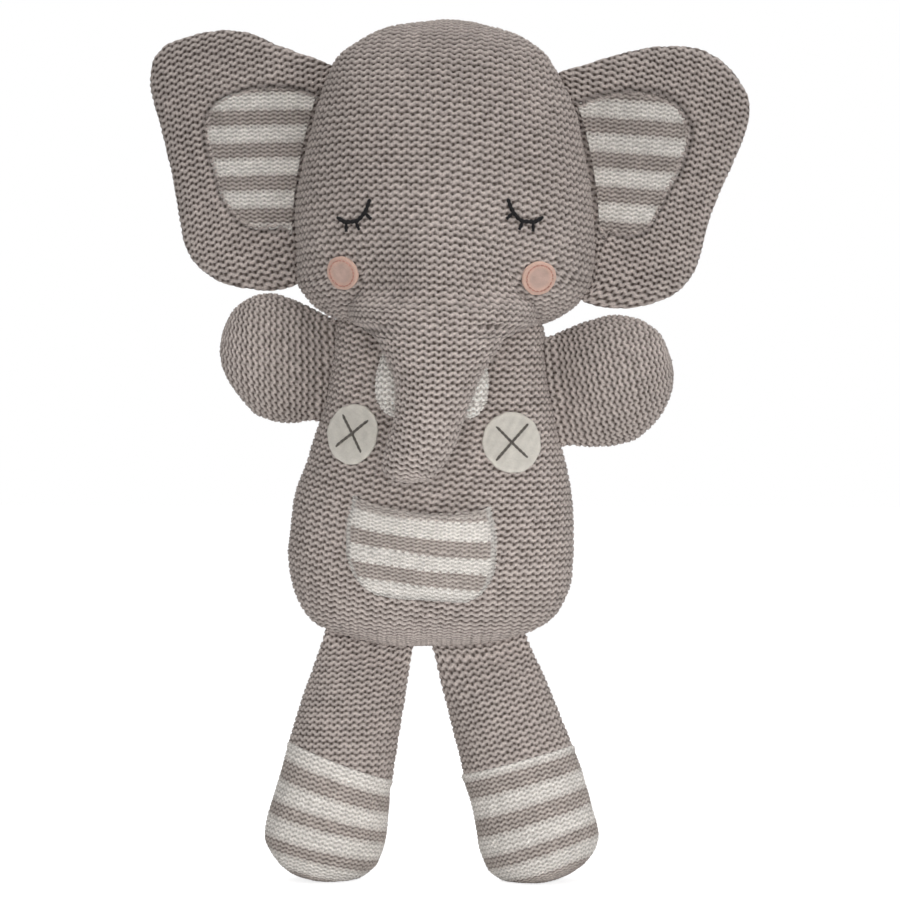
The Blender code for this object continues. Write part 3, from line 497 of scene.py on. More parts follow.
def surface_place(at, x, z):
    """Points on a surface and the directions out of it there."""
    right, left = at(x + SURFACE_STEP, z), at(x - SURFACE_STEP, z)
    out = np.cross(right - left, at(x, z + SURFACE_STEP) - at(x, z - SURFACE_STEP))
    return at(x, z), out / np.linalg.norm(out, axis=-1, keepdims=True)


def body_place(x, z):
    """Points on the body's front and the directions out of it; x is from the body's middle."""
    def at(u, v):
        return np.stack((body_middle(v) + u, -front_depth(body_section, u, v), v), axis=-1)
    return surface_place(at, x, z)


def bag_rows(section, low, high, gauge, per_course):
    """Heights of a bag's rows, evenly spaced over its curve, and the course number at each."""
    z = np.linspace(low, high, PROFILE_POINTS)
    w, d, _ = section(z)
    return arc_rows(z, ROW_WIDE * w + ROW_DEEP * d, z, gauge, per_course)


def half_lines(section, z):
    """Halves of level sections from side to side, by the front, one for each height."""
    phi = np.linspace(-QUARTER, QUARTER, HALF_POINTS)
    s, c = np.sin(phi), np.maximum(np.cos(phi), 0.0)
    return [np.stack((w * np.sign(s) * np.abs(s) ** (2.0 / full), -d * c ** (2.0 / full)), axis=1)
            for w, d, full in zip(*section(z))]


def bag_grid(z, lines, middle, face, gauge, per_wale):
    """Grid over the front or the back half of a bag, its wales, and the grooves of its two side seams."""
    longest = max(lengths(line)[-1] for line in lines)
    shape = (len(z), int(longest / gauge[0] * per_wale))
    points, a, edge = np.zeros(shape + (3,)), np.zeros(shape), np.zeros(shape)
    for i, line in enumerate(lines):
        flat, s = spread(line, shape[1])
        points[i, :, 0] = middle(z[i]) + flat[:, 0]
        points[i, :, 1] = -face * flat[:, 1]
        points[i, :, 2] = z[i]
        a[i] = (s - s[-1] / 2) / gauge[0]
        edge[i] = np.minimum(s, s[-1] - s)
    return points, a, SEAM_DEEP * bell(edge, SEAM_HALF)


def build_body():
    z, b = bag_rows(body_section, BODY_BASE_Z + 2.0 * SLIVER, NECK_Z + NECK_DOME, BELLY, COURSE_POINTS)
    tilt, lean, bow = BODY_SKEW
    for face, label in FACES:
        points, a, groove = bag_grid(z, half_lines(body_section, z), body_middle, face, BELLY, WALE_POINTS)
        height = points[..., 2]
        across = points[..., 0] - body_middle(height)
        rows = b[:, None] + (tilt * across - bow * across ** 2) / BELLY[1]
        a = a - lean * (height - height.mean()) / BELLY[0]
        obj = knit(f"body_{label}", points, a, rows, BELLY, points * LEVEL, TAUPE, SEEDS["body"], groove)
        dress(obj, "torso", YARN, ("body_cover", "body_stuffing"))


# Head and trunk: the trunk grows out of the face without a seam.
# Rows of the trunk are a share of its length, its bow, its bend, its half-width and its half-depth.
TRUNK_ROWS = ((0.0, 0.0, 0.0, 1.0, 1.0), (0.155, 0.36, 0.03, 1.0, 0.91), (0.31, 0.64, 0.08, 0.95, 0.82),
              (0.42, 0.80, 0.14, 0.78, 0.78), (0.525, 0.91, 0.22, 0.64, 0.74),
              (0.70, 1.0, 0.45, 0.550, 0.67), (0.85, 0.95, 0.77, 0.530, 0.58),
              (0.93, 0.90, 0.95, 0.470, 0.49), (0.975, 0.87, 1.04, 0.34, 0.34),
              (0.993, 0.86, 1.07, 0.18, 0.18), (1.0, 0.85, 1.08, 0.0, 0.0))
TIP_WIDE, TIP_DEEP = 0.48, 0.57    # the half-width and the half-depth in those rows that are the tip's own
# How far the face swells over the trunk's root, by the height above the hinge, and how wide.
SWELL_ROWS = ((-0.016, 0.0250), (0.0, 0.0198), (0.010, 0.0146), (0.020, 0.0093), (0.030, 0.0048),
              (0.040, 0.0019), (0.054, 0.0))
SWELL_WIDE = 0.0225
TRUNK_ASIDE, ASIDE_OVER = 0.0030, 0.022   # the hanging trunk sits a little to the toy's left of the face
ROW_ARCH, ROW_TOP_X = 3.4, -0.0215
TRUNK_COURSE = 0.00290
WEB_Z = 0.2620                            # below this the trunk leaves the face
TRUNK_TOP_Z = 0.2860
# Half-width of the trunk's own knit on the face, by height.
SPAN_ROWS = ((0.2380, 0.0), (0.2415, 0.0050), (0.2470, 0.0135), (0.2530, 0.0125), (0.2580, 0.0070),
             (0.2620, 0.0040))
FACE_SPAN = ((0.2620, 0.0330), (0.2700, 0.0325), (0.2780, 0.0290), (0.2830, 0.0220), (0.2860, 0.0140))
# Heights, and the lengths over which the face's swelling and the trunk's parts take over from each other.
GROWN_START, RIM_START = (0.2580, 0.012), (0.2380, 0.012)
FACE_START, ARCH_START = (0.2500, 0.014), (0.2350, 0.030)
# Lowest heights at which the rim and the span on the face are taken, and how deep the hidden back lies.
RIM_LOW_Z, HIDDEN_Z, BACK_DEEP = 0.2435, 0.2480, 0.004
# How deep the face's knit sinks under the trunk's, from how far inside and over how much.
SINK_DEEP, SINK_START = 0.0040, (0.0008, 0.0040)
# How far the trunk's rows tilt, from which height down and over which length.
ROW_LEANS = ((0.06, WEB_Z, 0.020), (0.20, 0.2150, 0.030))
# How near the tip the tilt ends, and how far the rows sag, over which length and how near the tip that ends.
LEAN_TIP, ROW_SAG, SAG_OVER, SAG_TIP = 0.006, 0.0012, 0.030, 0.012
WRAP_POINTS, FRONT_POINTS = 53, 195       # mesh points round each hidden side and the front of the trunk
TIP_ROUND, WALE_FOLLOW = 0.006, 0.75      # length of the rounded tip, and how much the wales follow the bend
# How proud the trunk's knit lies on the face, its edge's dip and the dip's length, and how proud it hangs.
PROUD, EDGE_DIP, EDGE_OVER, HANG_PROUD = 0.00010, 0.0026, 0.0009, 0.00015


def tapered(share, turn, tip, root):
    """Size that grows from nothing to the tip's at the share turn, and from there to the root's."""
    return np.where(share > turn, tip + (root - tip) * (share - turn) / (1.0 - turn), tip * share / turn)


def trunk_section(z):
    """Middle, depth of the middle, half-width and half-depth of the trunk at heights z."""
    z = np.asarray(z, float)
    share = unit((TRUNK_Z - z) / TRUNK_LENGTH)
    bow, bend, wide, deep = (column(TRUNK_ROWS, share, k) for k in (1, 2, 3, 4))
    w = tapered(wide, TIP_WIDE, TRUNK_TIP_WIDTH / 2, TRUNK_WIDTH / 2)
    d = tapered(deep, TIP_DEEP, TRUNK_TIP_DEPTH / 2, TRUNK_ROOT_R)
    aside = TRUNK_ASIDE * fade(z, WEB_Z, ASIDE_OVER)
    return HEAD_X + aside - TRUNK_BEND * bend, TRUNK_Y - TRUNK_BOW * bow, w, d


def face_swell(x, z):
    """How far the face swells over the trunk's root; x is from the head's middle."""
    rise = np.clip(np.asarray(z, float) - TRUNK_Z, SWELL_ROWS[0][0], SWELL_ROWS[-1][0])
    return column(SWELL_ROWS, rise, 1) * bell(np.asarray(x), SWELL_WIDE)


def face_y(x, z):
    """Depth of the swollen face."""
    return -front_depth(head_section, x, z) - face_swell(x, z)


def face_place(x, z):
    """Points on the face and the directions out of it; x is from the head's middle."""
    def at(u, v):
        return np.stack((HEAD_X + u, face_y(u, v), v), axis=-1)
    return surface_place(at, x, z)


def row_arch(x):
    """How many courses the arched rows of the face drop at x from the head's middle."""
    return ROW_ARCH * (x - ROW_TOP_X) ** 2 / 2.0 / PLAIN[1]


def trunk_span(z):
    """Half-width of the trunk's knit, from the face down to the tip."""
    _, _, w, _ = trunk_section(z)
    flare = np.where(z > SPAN_ROWS[0][0], column(SPAN_ROWS, np.minimum(z, WEB_Z), 1), 0.0)
    return np.where(z > WEB_Z, column(FACE_SPAN, z, 1), w + flare)


def head_rows():
    return bag_rows(head_section, HEAD_BASE_Z + SLIVER, HEAD_TOP_Z - SLIVER, PLAIN, HEAD_POINTS[0])


def build_head():
    z, b = head_rows()
    b = b[:, None]
    nodes = ("head_cover", "head_stuffing")
    lines = half_lines(head_section, z)
    points, a, groove = bag_grid(z, lines, head_middle, 1.0, PLAIN, HEAD_POINTS[1])
    obj = knit("head_back", points, a, b, PLAIN, points * LEVEL, TAUPE, SEEDS["head"], groove)
    dress(obj, "head", YARN, nodes)

    for line, height in zip(lines, z):
        line[:, 1] -= ramp(height, *GROWN_START) * face_swell(line[:, 0], height)
    points, a, groove = bag_grid(z, lines, head_middle, -1.0, PLAIN, HEAD_POINTS[1])
    x, height = points[..., 0] - HEAD_X, points[..., 2]
    inside = np.minimum(trunk_span(np.maximum(height, HIDDEN_Z)) - np.abs(x), TRUNK_TOP_Z - height)
    groove = groove + SINK_DEEP * ramp(inside, *SINK_START)
    b = b + row_arch(x)
    obj = knit("head_front", points, a, b, PLAIN, points * LEVEL, TAUPE, SEEDS["head"], groove)
    dress(obj, "head", YARN, nodes)


def trunk_rows(tip_z):
    """Heights of the trunk's rows, and their course numbers, which carry on those of the face."""
    z = fine_end(TRUNK_TOP_Z, tip_z + TIP_ROUND, tip_z, 1500, 800)
    _, y, _, d = trunk_section(z)
    s = lengths(np.stack((y - d, z), axis=1))
    b_face = np.interp(z, *head_rows())
    turn = np.searchsorted(-z, -WEB_Z)
    b = np.where(z >= WEB_Z, b_face, b_face[turn] - (s - s[turn]) / TRUNK_COURSE)
    at = np.linspace(0.0, s[-1], int(s[-1] / PLAIN[1] * COURSE_POINTS))
    return np.interp(at, s, z), np.interp(at, s, b)


def build_trunk():
    tip_z = TRUNK_Z - TRUNK_LENGTH
    row_z, b = trunk_rows(tip_z)
    phi = np.concatenate((np.linspace(-math.pi, -QUARTER, WRAP_POINTS, endpoint=False),
                          np.linspace(-QUARTER, QUARTER, FRONT_POINTS),
                          np.linspace(math.pi, QUARTER, WRAP_POINTS, endpoint=False)[::-1]))
    u, c = np.broadcast_to(np.sin(phi), (len(row_z), len(phi))), np.cos(phi)
    lean = sum(size * fade(row_z, top, over) for size, top, over in ROW_LEANS)
    lean = lean * ramp(row_z, tip_z, LEAN_TIP) * trunk_span(row_z)
    sag = ROW_SAG * fade(row_z, WEB_Z, SAG_OVER) * ramp(row_z, tip_z, SAG_TIP)
    zz = row_z[:, None] - u * lean[:, None] - sag[:, None] * (1 - u ** 2)
    zz = np.clip(zz, tip_z, TRUNK_TOP_Z)
    middle, y, _, d = trunk_section(zz)
    half = trunk_span(zz)
    x = u * half
    on_face = ramp(zz, *RIM_START)
    rim = -front_depth(head_section, half, np.maximum(zz, RIM_LOW_Z))
    edge_y = y + (rim - y) * on_face
    front = edge_y - (edge_y - (y - d)) * np.maximum(c, 0.0)
    front = front + (face_y(x, zz) - front) * ramp(zz, *FACE_START)
    deep = y + d - edge_y
    back = edge_y + (deep + (BACK_DEEP - deep) * on_face) * np.maximum(-c, 0.0)
    points = np.stack((middle + x, np.where(c >= 0.0, front, back), zz), axis=-1)
    step = np.linalg.norm(np.diff(points, axis=1), axis=2)
    along = np.concatenate((np.zeros((len(row_z), 1)), np.cumsum(step, axis=1)), axis=1)
    centre = len(phi) // 2
    a = (along - along[:, centre:centre + 1] + WALE_FOLLOW * (middle - HEAD_X)) / PLAIN[0]
    inside = np.minimum(half - np.abs(x), TRUNK_TOP_Z - zz)
    proud = PROUD - EDGE_DIP * (1 - ease(inside / EDGE_OVER))
    proud = np.where((zz > WEB_Z) & (c >= 0.0), proud, HANG_PROUD)
    outward = np.stack((u, -np.broadcast_to(c, u.shape), 0.0 * u), axis=-1)
    strips = (slice(0, WRAP_POINTS), slice(WRAP_POINTS, -WRAP_POINTS), slice(-WRAP_POINTS, None))
    n = np.concatenate([normals(points[:, part], outward[:, part]) for part in strips], axis=1)
    rows = b[:, None] + row_arch(x) * ramp(zz, *ARCH_START)
    obj = knit("trunk", points, a, rows, PLAIN, outward, TAUPE, SEEDS["head"], -proud, n=n)
    dress(obj, None, YARN, ("trunk_cover", "trunk_stuffing"))
    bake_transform(obj)


# Limbs: rings of knitting along a line out of the seam.
RING_POINTS, SEAM_POINTS, SEAM_LOOK = 241, 41, np.arange(0.004, -0.060, -0.0002)
# Height of the ridge round a cuff, and its middle and half-width in courses.
CUFF_RIDGE, CUFF_MIDDLE, CUFF_HALF = 0.0007, 0.8, 0.6


def limb_frame(name, sign=None):
    """Hinge middle, seam direction and outward direction of a limb, in the toy's frame."""
    joint = JOINTS[name]
    axis = np.array(joint["axis"], float)
    along = axis * np.sign(axis[0] if sign is None else axis[2])
    out = np.array((along[2], 0.0, -along[0])) * (1.0 if sign is None else sign)
    return np.array(joint["pos_m"]) - SHIFT, along, out


def seam_fall(section, middle, origin, along, out, half, low_z, high_z):
    """How far the silhouette of a form falls back from a hinge line, at places along the seam."""
    places = np.linspace(-half, half, SEAM_POINTS)
    p = origin + places[:, None, None] * along + SEAM_LOOK[None, :, None] * out
    w, _, _ = section(np.clip(p[..., 2], low_z, high_z))
    inside = (np.abs(p[..., 0] - middle(p[..., 2])) < w) & (p[..., 2] > low_z) & (p[..., 2] < high_z)
    reach = np.where(inside.any(axis=1), SEAM_LOOK[np.argmax(inside, axis=1)], SEAM_LOOK[-1])
    return places, np.minimum(reach + SEAM_R + CLEAR / 2, 0.0)


def straight(x, q):
    return 0.0 * x


def root_bend(places, fall, depth):
    """Bend of a limb's rings that lays its root against the form it is sewn to."""
    def bend(x, q):
        return np.interp(x, places, fall) * (1.0 - unit(q / depth)) ** 2
    return bend


def root_close(share, first):
    """How full a tube is near its hidden end, where its two faces meet."""
    return np.sqrt(unit((share - first) / ROOT_TAPER))


def tube(name, place, q, rings, gauge, cols, b, colour, seed, bend=straight, fore=None, floor=None,
         skew=(0.0, 0.0)):
    """Knitted tube: rings of a middle, a half-width and a half-depth at distances q out along a limb."""
    origin, along, out = place
    phi = np.linspace(-math.pi, math.pi, RING_POINTS)
    fore = 0.0 * q if fore is None else fore
    points, a = np.zeros((len(q), cols, 3)), np.zeros((len(q), cols))
    outward = np.zeros((len(q), cols, 3))
    for i, (middle, w, d) in enumerate(zip(*rings)):
        flat, s = spread(np.stack((middle + w * np.sin(phi), -d * np.cos(phi)), axis=1), cols)
        x, y = flat.T
        reach = q[i] + bend(x, q[i])
        points[i] = origin + np.outer(x, along) + np.outer(y + fore[i], FORE) + np.outer(reach, out)
        a[i] = (s - s[-1] / 2) / gauge[0]
        outward[i] = np.outer(x - middle, along) + np.outer(y, FORE)
    across = np.sum((points - origin) * along, axis=2)
    b = b[:, None] + skew[0] * across / gauge[1]
    a = a - skew[1] * q[:, None] / gauge[0]
    cuff = 0.0 if floor is None else -CUFF_RIDGE * bell(b - CUFF_MIDDLE, CUFF_HALF)
    return knit(name, points, a, b, gauge, outward, colour, seed, cuff, floor)


def limb_rows(rows, share, width, thick, reach, gauge):
    """Shares of a limb's reach, evenly spaced over its profile, and the course number at each."""
    across = (width / 2 * column(rows, share, 1) + thick / 2 * column(rows, share, 2)) / 2
    return arc_rows(share, across, share * reach, gauge)


# Where an arm's and a leg's knit starts inside the body, in shares of its reach, and how soon it is full.
ARM_FIRST, LEG_FIRST, ROOT_TAPER = -0.11, -0.05, 0.035
# Rows of a limb are a share of its reach, its half-width and its half-depth, and for an arm its droop.
ARM_ROWS = ((-0.25, 0.86, 0.16, 0.0), (0.0, 0.86, 0.20, 0.0), (0.10, 0.90, 0.42, 0.0),
            (0.22, 0.95, 0.70, -0.01), (0.36, 0.985, 0.90, -0.04), (0.52, 1.0, 1.0, -0.08),
            (0.68, 0.91, 0.98, -0.14), (0.82, 0.73, 0.84, -0.19), (0.92, 0.52, 0.62, -0.23),
            (0.98, 0.27, 0.34, -0.26), (1.0, 0.0, 0.0, -0.27))
# How far an arm's middle is raised at its root and at its tip, as a share of its half-width.
ARM_RAISE = {"right": (0.09, 0.10), "left": (0.09, -0.06)}
ARM_SKEW = {"right": (-0.167, 0.0), "left": (0.0, 0.0)}
ARM_GROW = {"right": 1.05, "left": 1.105}
ARM_TIP, ARM_COLS = 0.96, 230


def build_arms():
    for number, (side, sign) in enumerate(SIDES):
        reach = ARM_REACH[side]
        share = fine_end(ARM_FIRST, ARM_TIP, 1.0, 900, 400)
        share, b = limb_rows(ARM_ROWS, share, ARM_HEIGHT, ARM_THICK, reach, MITT)
        root, end = ARM_RAISE[side]
        middle = ARM_HEIGHT / 2 * (root + (end - root) * unit(share) - column(ARM_ROWS, share, 3))
        w = ARM_GROW[side] * ARM_HEIGHT / 2 * column(ARM_ROWS, share, 1)
        d = ARM_THICK / 2 * column(ARM_ROWS, share, 2) * root_close(share, ARM_FIRST)
        place = limb_frame(f"arm_{side}_swing", sign)
        fall = seam_fall(body_section, body_middle, *place, ARM_HEIGHT / 2, BODY_BASE_Z,
                         NECK_Z + NECK_DEPTH / 2)
        obj = tube(f"arm_{side}", place, share * reach, (middle, w, d), MITT, ARM_COLS, b, TAUPE,
                   SEEDS["arm"] + number, root_bend(*fall, reach * ROOT_SHARE), skew=ARM_SKEW[side])
        dress(obj, f"arm_{side}", YARN, (f"arm_{side}_cover", f"arm_{side}_stuffing"))


LEG_ROWS = ((-0.15, 0.77, 0.10), (0.0, 0.77, 0.14), (0.08, 0.80, 0.34), (0.19, 0.835, 0.545),
            (0.36, 0.885, 0.67), (0.52, 0.93, 0.76), (0.66, 0.97, 0.84), (0.80, 1.01, 0.965),
            (0.87, 0.985, 1.0), (0.915, 0.88, 0.98), (0.957, 0.70, 0.91), (0.985, 0.43, 0.76),
            (1.0, 0.0, 0.0))
LEG_SKEW = {"right": (0.36, 0.175), "left": (0.0, 0.0)}
# How far a leg's knit lies aside of its hinge at the root and at the foot, and how much wider it is.
LEG_ASIDE = {"right": (-0.0018, -0.0010, 1.0), "left": (0.0011, -0.0006, 1.035)}
LEG_LOW = (0.55, 0.25)
FOOT_STRIPES = {"right": (4, 4, 4, 3, 4, 3, 4), "left": (2, 4, 4, 4, 4, 3, 4)}
# How far each cuff lies above the solid's own, and how much it tilts across the leg.
CUFF = {"right": (0.0012, 0.13), "left": (0.0036, 0.05)}
CUFF_FADE, SOLE_Z, LEG_COLS, FOOT_COLS = 0.75, 0.0003, 240, 340


def leg_reach(place):
    """Length of a leg whose round foot is pressed a little into the floor."""
    origin, along, out = place
    reach = origin[2] / -out[2]
    share = np.linspace(0.6, 1.0, 200)
    w = FOOT_WIDTH / 2 * column(LEG_ROWS, share, 1)
    for _ in range(4):
        lowest = (origin[2] + share * reach * out[2] - w * abs(along[2])).min()
        reach += (lowest + SOLE_CUT) / -out[2]
    return reach


def build_legs():
    for number, (side, _) in enumerate(SIDES):
        place = limb_frame(f"leg_{side}_swing")
        reach = leg_reach(place)
        fall = seam_fall(body_section, body_middle, *place, FOOT_WIDTH / 2, BODY_BASE_Z + HAIR, NECK_Z)
        bend = root_bend(*fall, FOOT_START * ROOT_SHARE)
        rise, slope = CUFF[side]
        start = FOOT_START - rise
        root, end, grow = LEG_ASIDE[side]

        def tilt(x, q):
            return slope * x * ease(q / start) * (1.0 - ramp(q, start, (reach - start) * CUFF_FADE))

        def lean(x, q):
            return bend(x, q) + tilt(x, q)

        def profile(first, last, gauge):
            share, b = limb_rows(LEG_ROWS, np.linspace(first, last, PROFILE_POINTS), FOOT_WIDTH, FOOT_DEPTH,
                                 reach, gauge)
            low = ramp(share, *LEG_LOW)
            w = (grow + (1.0 - grow) * low) * FOOT_WIDTH / 2 * column(LEG_ROWS, share, 1)
            d = FOOT_DEPTH / 2 * column(LEG_ROWS, share, 2) * root_close(share, LEG_FIRST)
            return share * reach, (root + (end - root) * low, w, d), b

        q, rings, b = profile(LEG_FIRST, start / reach, MITT)
        obj = tube(f"leg_{side}", place, q, rings, MITT, LEG_COLS, b, TAUPE, SEEDS["leg"] + number, lean,
                   skew=LEG_SKEW[side])
        dress(obj, f"leg_{side}", YARN, (f"leg_{side}_cover",))
        q, rings, b = profile(start / reach, 1.0, FINE)
        colour = stripes(FOOT_STRIPES[side], WHITE, GREY)
        obj = tube(f"foot_{side}", place, q, rings, FINE, FOOT_COLS, b, colour, SEEDS["foot"] + number, tilt,
                   floor=SOLE_Z)
        nodes = (f"foot_{side}_cover", f"leg_{side}_stuffing")
        dress(obj, f"leg_{side}", YARN, nodes)


# Rows of a tusk are a share of its length, its reach forward and its swelling.
TUSK_ROWS = ((-0.12, 0.0, 0.0), (0.0, 0.0, 0.0), (0.19, 0.16, 0.22), (0.40, 0.51, 0.80), (0.62, 0.78, 1.0),
             (0.83, 0.91, 0.86), (0.94, 0.98, 0.55), (1.0, 1.0, 0.0))
TUSK_SPREAD, TUSK_X, TUSK_LENGTH = 0.0165, -0.0049, 0.0420
TUSK_R, TUSK_ROOT_R, TUSK_ROOT_Y, TUSK_REACH = 0.0086, 0.0033, -0.0285, 0.0115
TUSK_FIRST, TUSK_WIDEST, TUSK_TURN, TUSK_TIP = -0.10, 0.62, 0.83, 0.93
TUSK_COURSE_POINTS, TUSK_COLS = 8, 120


def build_tusks():
    for number, (side, sign) in enumerate(SIDES):
        share = fine_end(TUSK_FIRST, TUSK_TIP, 1.0, 800, 400)
        swell = column(TUSK_ROWS, share, 2)
        past = (share - TUSK_WIDEST) / (1.0 - TUSK_WIDEST)
        dome = np.minimum(swell, np.sqrt(np.maximum(1.0 - past ** 2, 0.0)))
        r = np.where(share < TUSK_TURN, TUSK_ROOT_R + (TUSK_R - TUSK_ROOT_R) * swell, TUSK_R * dome)
        rows, b = arc_rows(share, r, share * TUSK_LENGTH, MITT, TUSK_COURSE_POINTS)
        r = np.interp(rows, share, r)
        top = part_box(f"tusk_{side}_cover")[1][2] - SHIFT[2]
        root = np.array((TUSK_X + sign * TUSK_SPREAD, TUSK_ROOT_Y, top))
        place = (root, np.array((1.0, 0.0, 0.0)), -UP)
        obj = tube(f"tusk_{side}", place, rows * TUSK_LENGTH, (0.0 * rows, r, r), MITT, TUSK_COLS, b,
                   TUSK_WHITE, SEEDS["tusk"] + number, fore=-TUSK_REACH * column(TUSK_ROWS, rows, 1))
        dress(obj, "head", YARN, (f"tusk_{side}_cover", f"tusk_{side}_stuffing"))


# Ears: rows that droop towards the rim, over the front and the back.
EAR_FULL = ((0.0, 0.40), (0.07, 0.55), (0.18, 0.82), (0.32, 0.96), (0.46, 1.0), (0.566, 1.0), (0.727, 0.95),
            (0.839, 0.87), (0.951, 0.66), (1.0, 0.50))
# Outlines in millimetres across and up, from below at the head, round the tip, to the top at the head.
EAR_EDGE = {"right": ((-87, 261), (-96, 262.2), (-104.6, 265), (-112.5, 270.3), (-117.2, 277.5),
                      (-119.6, 287), (-121.4, 297), (-124, 310.5), (-126.9, 322.5), (-130.6, 337),
                      (-132.8, 347.5), (-133.5, 356), (-132, 363.9), (-126.6, 369.8), (-118, 373.3),
                      (-107, 375.6), (-92.5, 375.6), (-86, 373.6), (-78, 369.4), (-66, 364.4), (-52, 358.6)),
            "left": ((66, 258.3), (73.5, 254.9), (82.5, 252.5), (91.8, 254), (100.5, 259.1), (106, 265.6),
                     (109.6, 272.3), (112.8, 284), (118, 300), (124, 313.5), (129.3, 326), (132, 335.5),
                     (132.2, 343), (129.1, 350), (124, 357), (117.5, 363.2), (109, 367), (100, 368),
                     (89.5, 367.6), (78, 365.2), (66, 361.4), (53, 355.6))}
LINING_EDGE = {"right": ((-75, 288), (-84, 287), (-91.3, 289), (-97, 294.5), (-101.3, 301.5), (-104.7, 313),
                         (-108, 323.5), (-109.3, 332), (-105.8, 341), (-98.3, 346.5), (-87, 349.6),
                         (-70.5, 350), (-57.5, 346)),
               "left": ((70.5, 285.2), (79.5, 284), (86.8, 286.3), (91.7, 293.6), (97, 304.5),
                        (102.3, 314.8), (105.7, 324.5), (106.2, 331), (102.7, 339), (95.7, 345),
                        (85, 347.8), (69, 346.7), (58.5, 342.5))}
MILLIMETRES = 1000.0
EAR_RIM = 0.0080              # distance from the rim over which an ear rounds off
EAR_ROOT, EAR_CLOSE = -0.0045, 0.003   # where the knit starts, inside the head, and how soon it is full
EAR_ENDS, LINING_ENDS = (-1.0, 1.0), (-0.62, 0.76)   # where each starts and ends at the seam, in half seams
LINING_ROOT, LINING_RELIEF = -0.0008, 0.85
SEAM_GROW = 1.16              # how much further than the seam the head's outline is followed
EAR_POINTS, LINING_POINTS = (430, 220), (300, 150)
LINING_STRIPES = (4, 4, 4, 4, 4, 4, 4, 4)
# Grey courses at the top of each lining, and how much taller its stitches are.
LINING_START = {"right": (2, 1.0), "left": (3, 1.05)}
EAR_DROOP = {"right": 0.62, "left": 0.46}
EAR_SLANT, LINING_SKEW = 0.30, (0.20, 0.25)
RIM_RELIEF, RIM_OVER = 0.35, 0.006
# Painted shadow in the crease round a lining: how dark, how wide and how far outside its edge.
SEAM_SHADOW_DARK, SEAM_SHADOW_HALF, SEAM_SHADOW_OUT = 0.40, 0.0011, 0.0004
# Depth of the ear under its lining and where that starts, the crease at its edge and the roll outside it.
UNDER_DEEP, UNDER_START, CREASE, CREASE_HALF = 0.0022, (0.001, 0.003), 0.0009, 0.0013
ROLL, ROLL_OUT, ROLL_HALF = 0.0012, 0.0042, 0.0032
LINING_DIP, LINING_LIFT, LINING_OVER = 0.0012, 0.0010, 0.0034


def curve(points, count):
    """Smooth curve through points, evenly spaced."""
    p = np.asarray(points, float)
    s = np.concatenate(([0.0], np.cumsum(np.sqrt(np.linalg.norm(np.diff(p, axis=0), axis=1)))))
    slope = np.gradient(p, s, axis=0)
    t = np.linspace(0.0, s[-1], PROFILE_POINTS)
    k = np.clip(np.searchsorted(s, t, side="right") - 1, 0, len(p) - 2)
    step = (s[k + 1] - s[k])[:, None]
    u = (t[:, None] - s[k][:, None]) / step
    return spread(hermite(u, step, p[k], p[k + 1], slope[k], slope[k + 1]), count)[0]


def lobe_edge(points, place, root, ends, count):
    """Outline of a lobe as (distance out, height along the seam), from its lower root to its upper one."""
    origin, along, out = place
    p = np.array([(x, 0.0, z) for x, z in points]) / MILLIMETRES - origin
    p[:, 1] = 0.0
    low, high = ((root, end * EAR_SEAM / 2) for end in ends)
    return curve(np.concatenate(([low], np.stack((p @ out, p @ along), axis=1), [high])), count)


def fan(edge, cols):
    """Grid of points from the seam out to an edge, close together near the edge."""
    root = edge[0] + (edge[-1] - edge[0]) * np.linspace(0.0, 1.0, len(edge))[:, None]
    t = np.sin(np.linspace(0.0, QUARTER, cols))[None, :, None]
    return root[:, None] + (edge - root)[:, None] * t


def edge_gap(grid, edge):
    """Distance of each point from an edge, and the direction away from the edge there."""
    along = np.gradient(edge, axis=0)
    inward = np.stack((-along[:, 1], along[:, 0]), axis=1)
    inward /= np.linalg.norm(inward, axis=1, keepdims=True)
    best = np.full(grid.shape[:2], 1.0)
    which = np.zeros(grid.shape[:2], int)
    for k, place in enumerate(edge):
        gap = np.hypot(grid[..., 0] - place[0], grid[..., 1] - place[1])
        nearer = gap < best
        best = np.where(nearer, gap, best)
        which[nearer] = k
    return best, inward[which]


def ear_face(grid, face, edge, place, fall):
    """Points and outward directions of one face of an ear, -1 for the front and 1 for the back."""
    origin, along, out = place
    gap, inward = edge_gap(grid, edge)
    q, height = grid[..., 0], grid[..., 1]
    full = EAR_THICK / 2 * column(EAR_FULL, unit(q / EAR_REACH), 1)
    full = full * np.sqrt(unit((q - EAR_ROOT) / EAR_CLOSE))
    near = 1.0 - unit(gap / EAR_RIM)
    round_off = np.sqrt(np.maximum(1.0 - near ** 2, 1e-6))
    steep = full * near / (EAR_RIM * round_off)
    reach = q + root_bend(*fall, EAR_REACH * ROOT_SHARE)(height, q)
    points = origin + height[..., None] * along + reach[..., None] * out
    points = points + (face * full * np.where(gap > 0.0, round_off, 0.0))[..., None] * FORE
    n = -steep[..., None] * (inward[..., :1] * out + inward[..., 1:] * along) + face * FORE
    return points, n / np.linalg.norm(n, axis=2, keepdims=True)


def inside_lobe(grid, edge):
    """How far inside an outline a point is, as seen from the outline's middle."""
    middle = edge.mean(axis=0)
    turn = np.arctan2(edge[:, 1] - middle[1], edge[:, 0] - middle[0])
    order = np.argsort(turn)
    radius = np.hypot(*(edge - middle).T)[order]
    rel = grid - middle
    reach = np.interp(np.arctan2(rel[..., 1], rel[..., 0]), turn[order], radius, period=TURN)
    return reach - np.hypot(rel[..., 0], rel[..., 1])


def ear_stitches(grid, gauge, droop, slant):
    """Wales and courses of an ear, whose rows droop towards the rim."""
    q, height = grid[..., 0], grid[..., 1]
    return (q - slant * height) / gauge[0], (height + droop * q) / gauge[1] / math.hypot(1.0, droop)


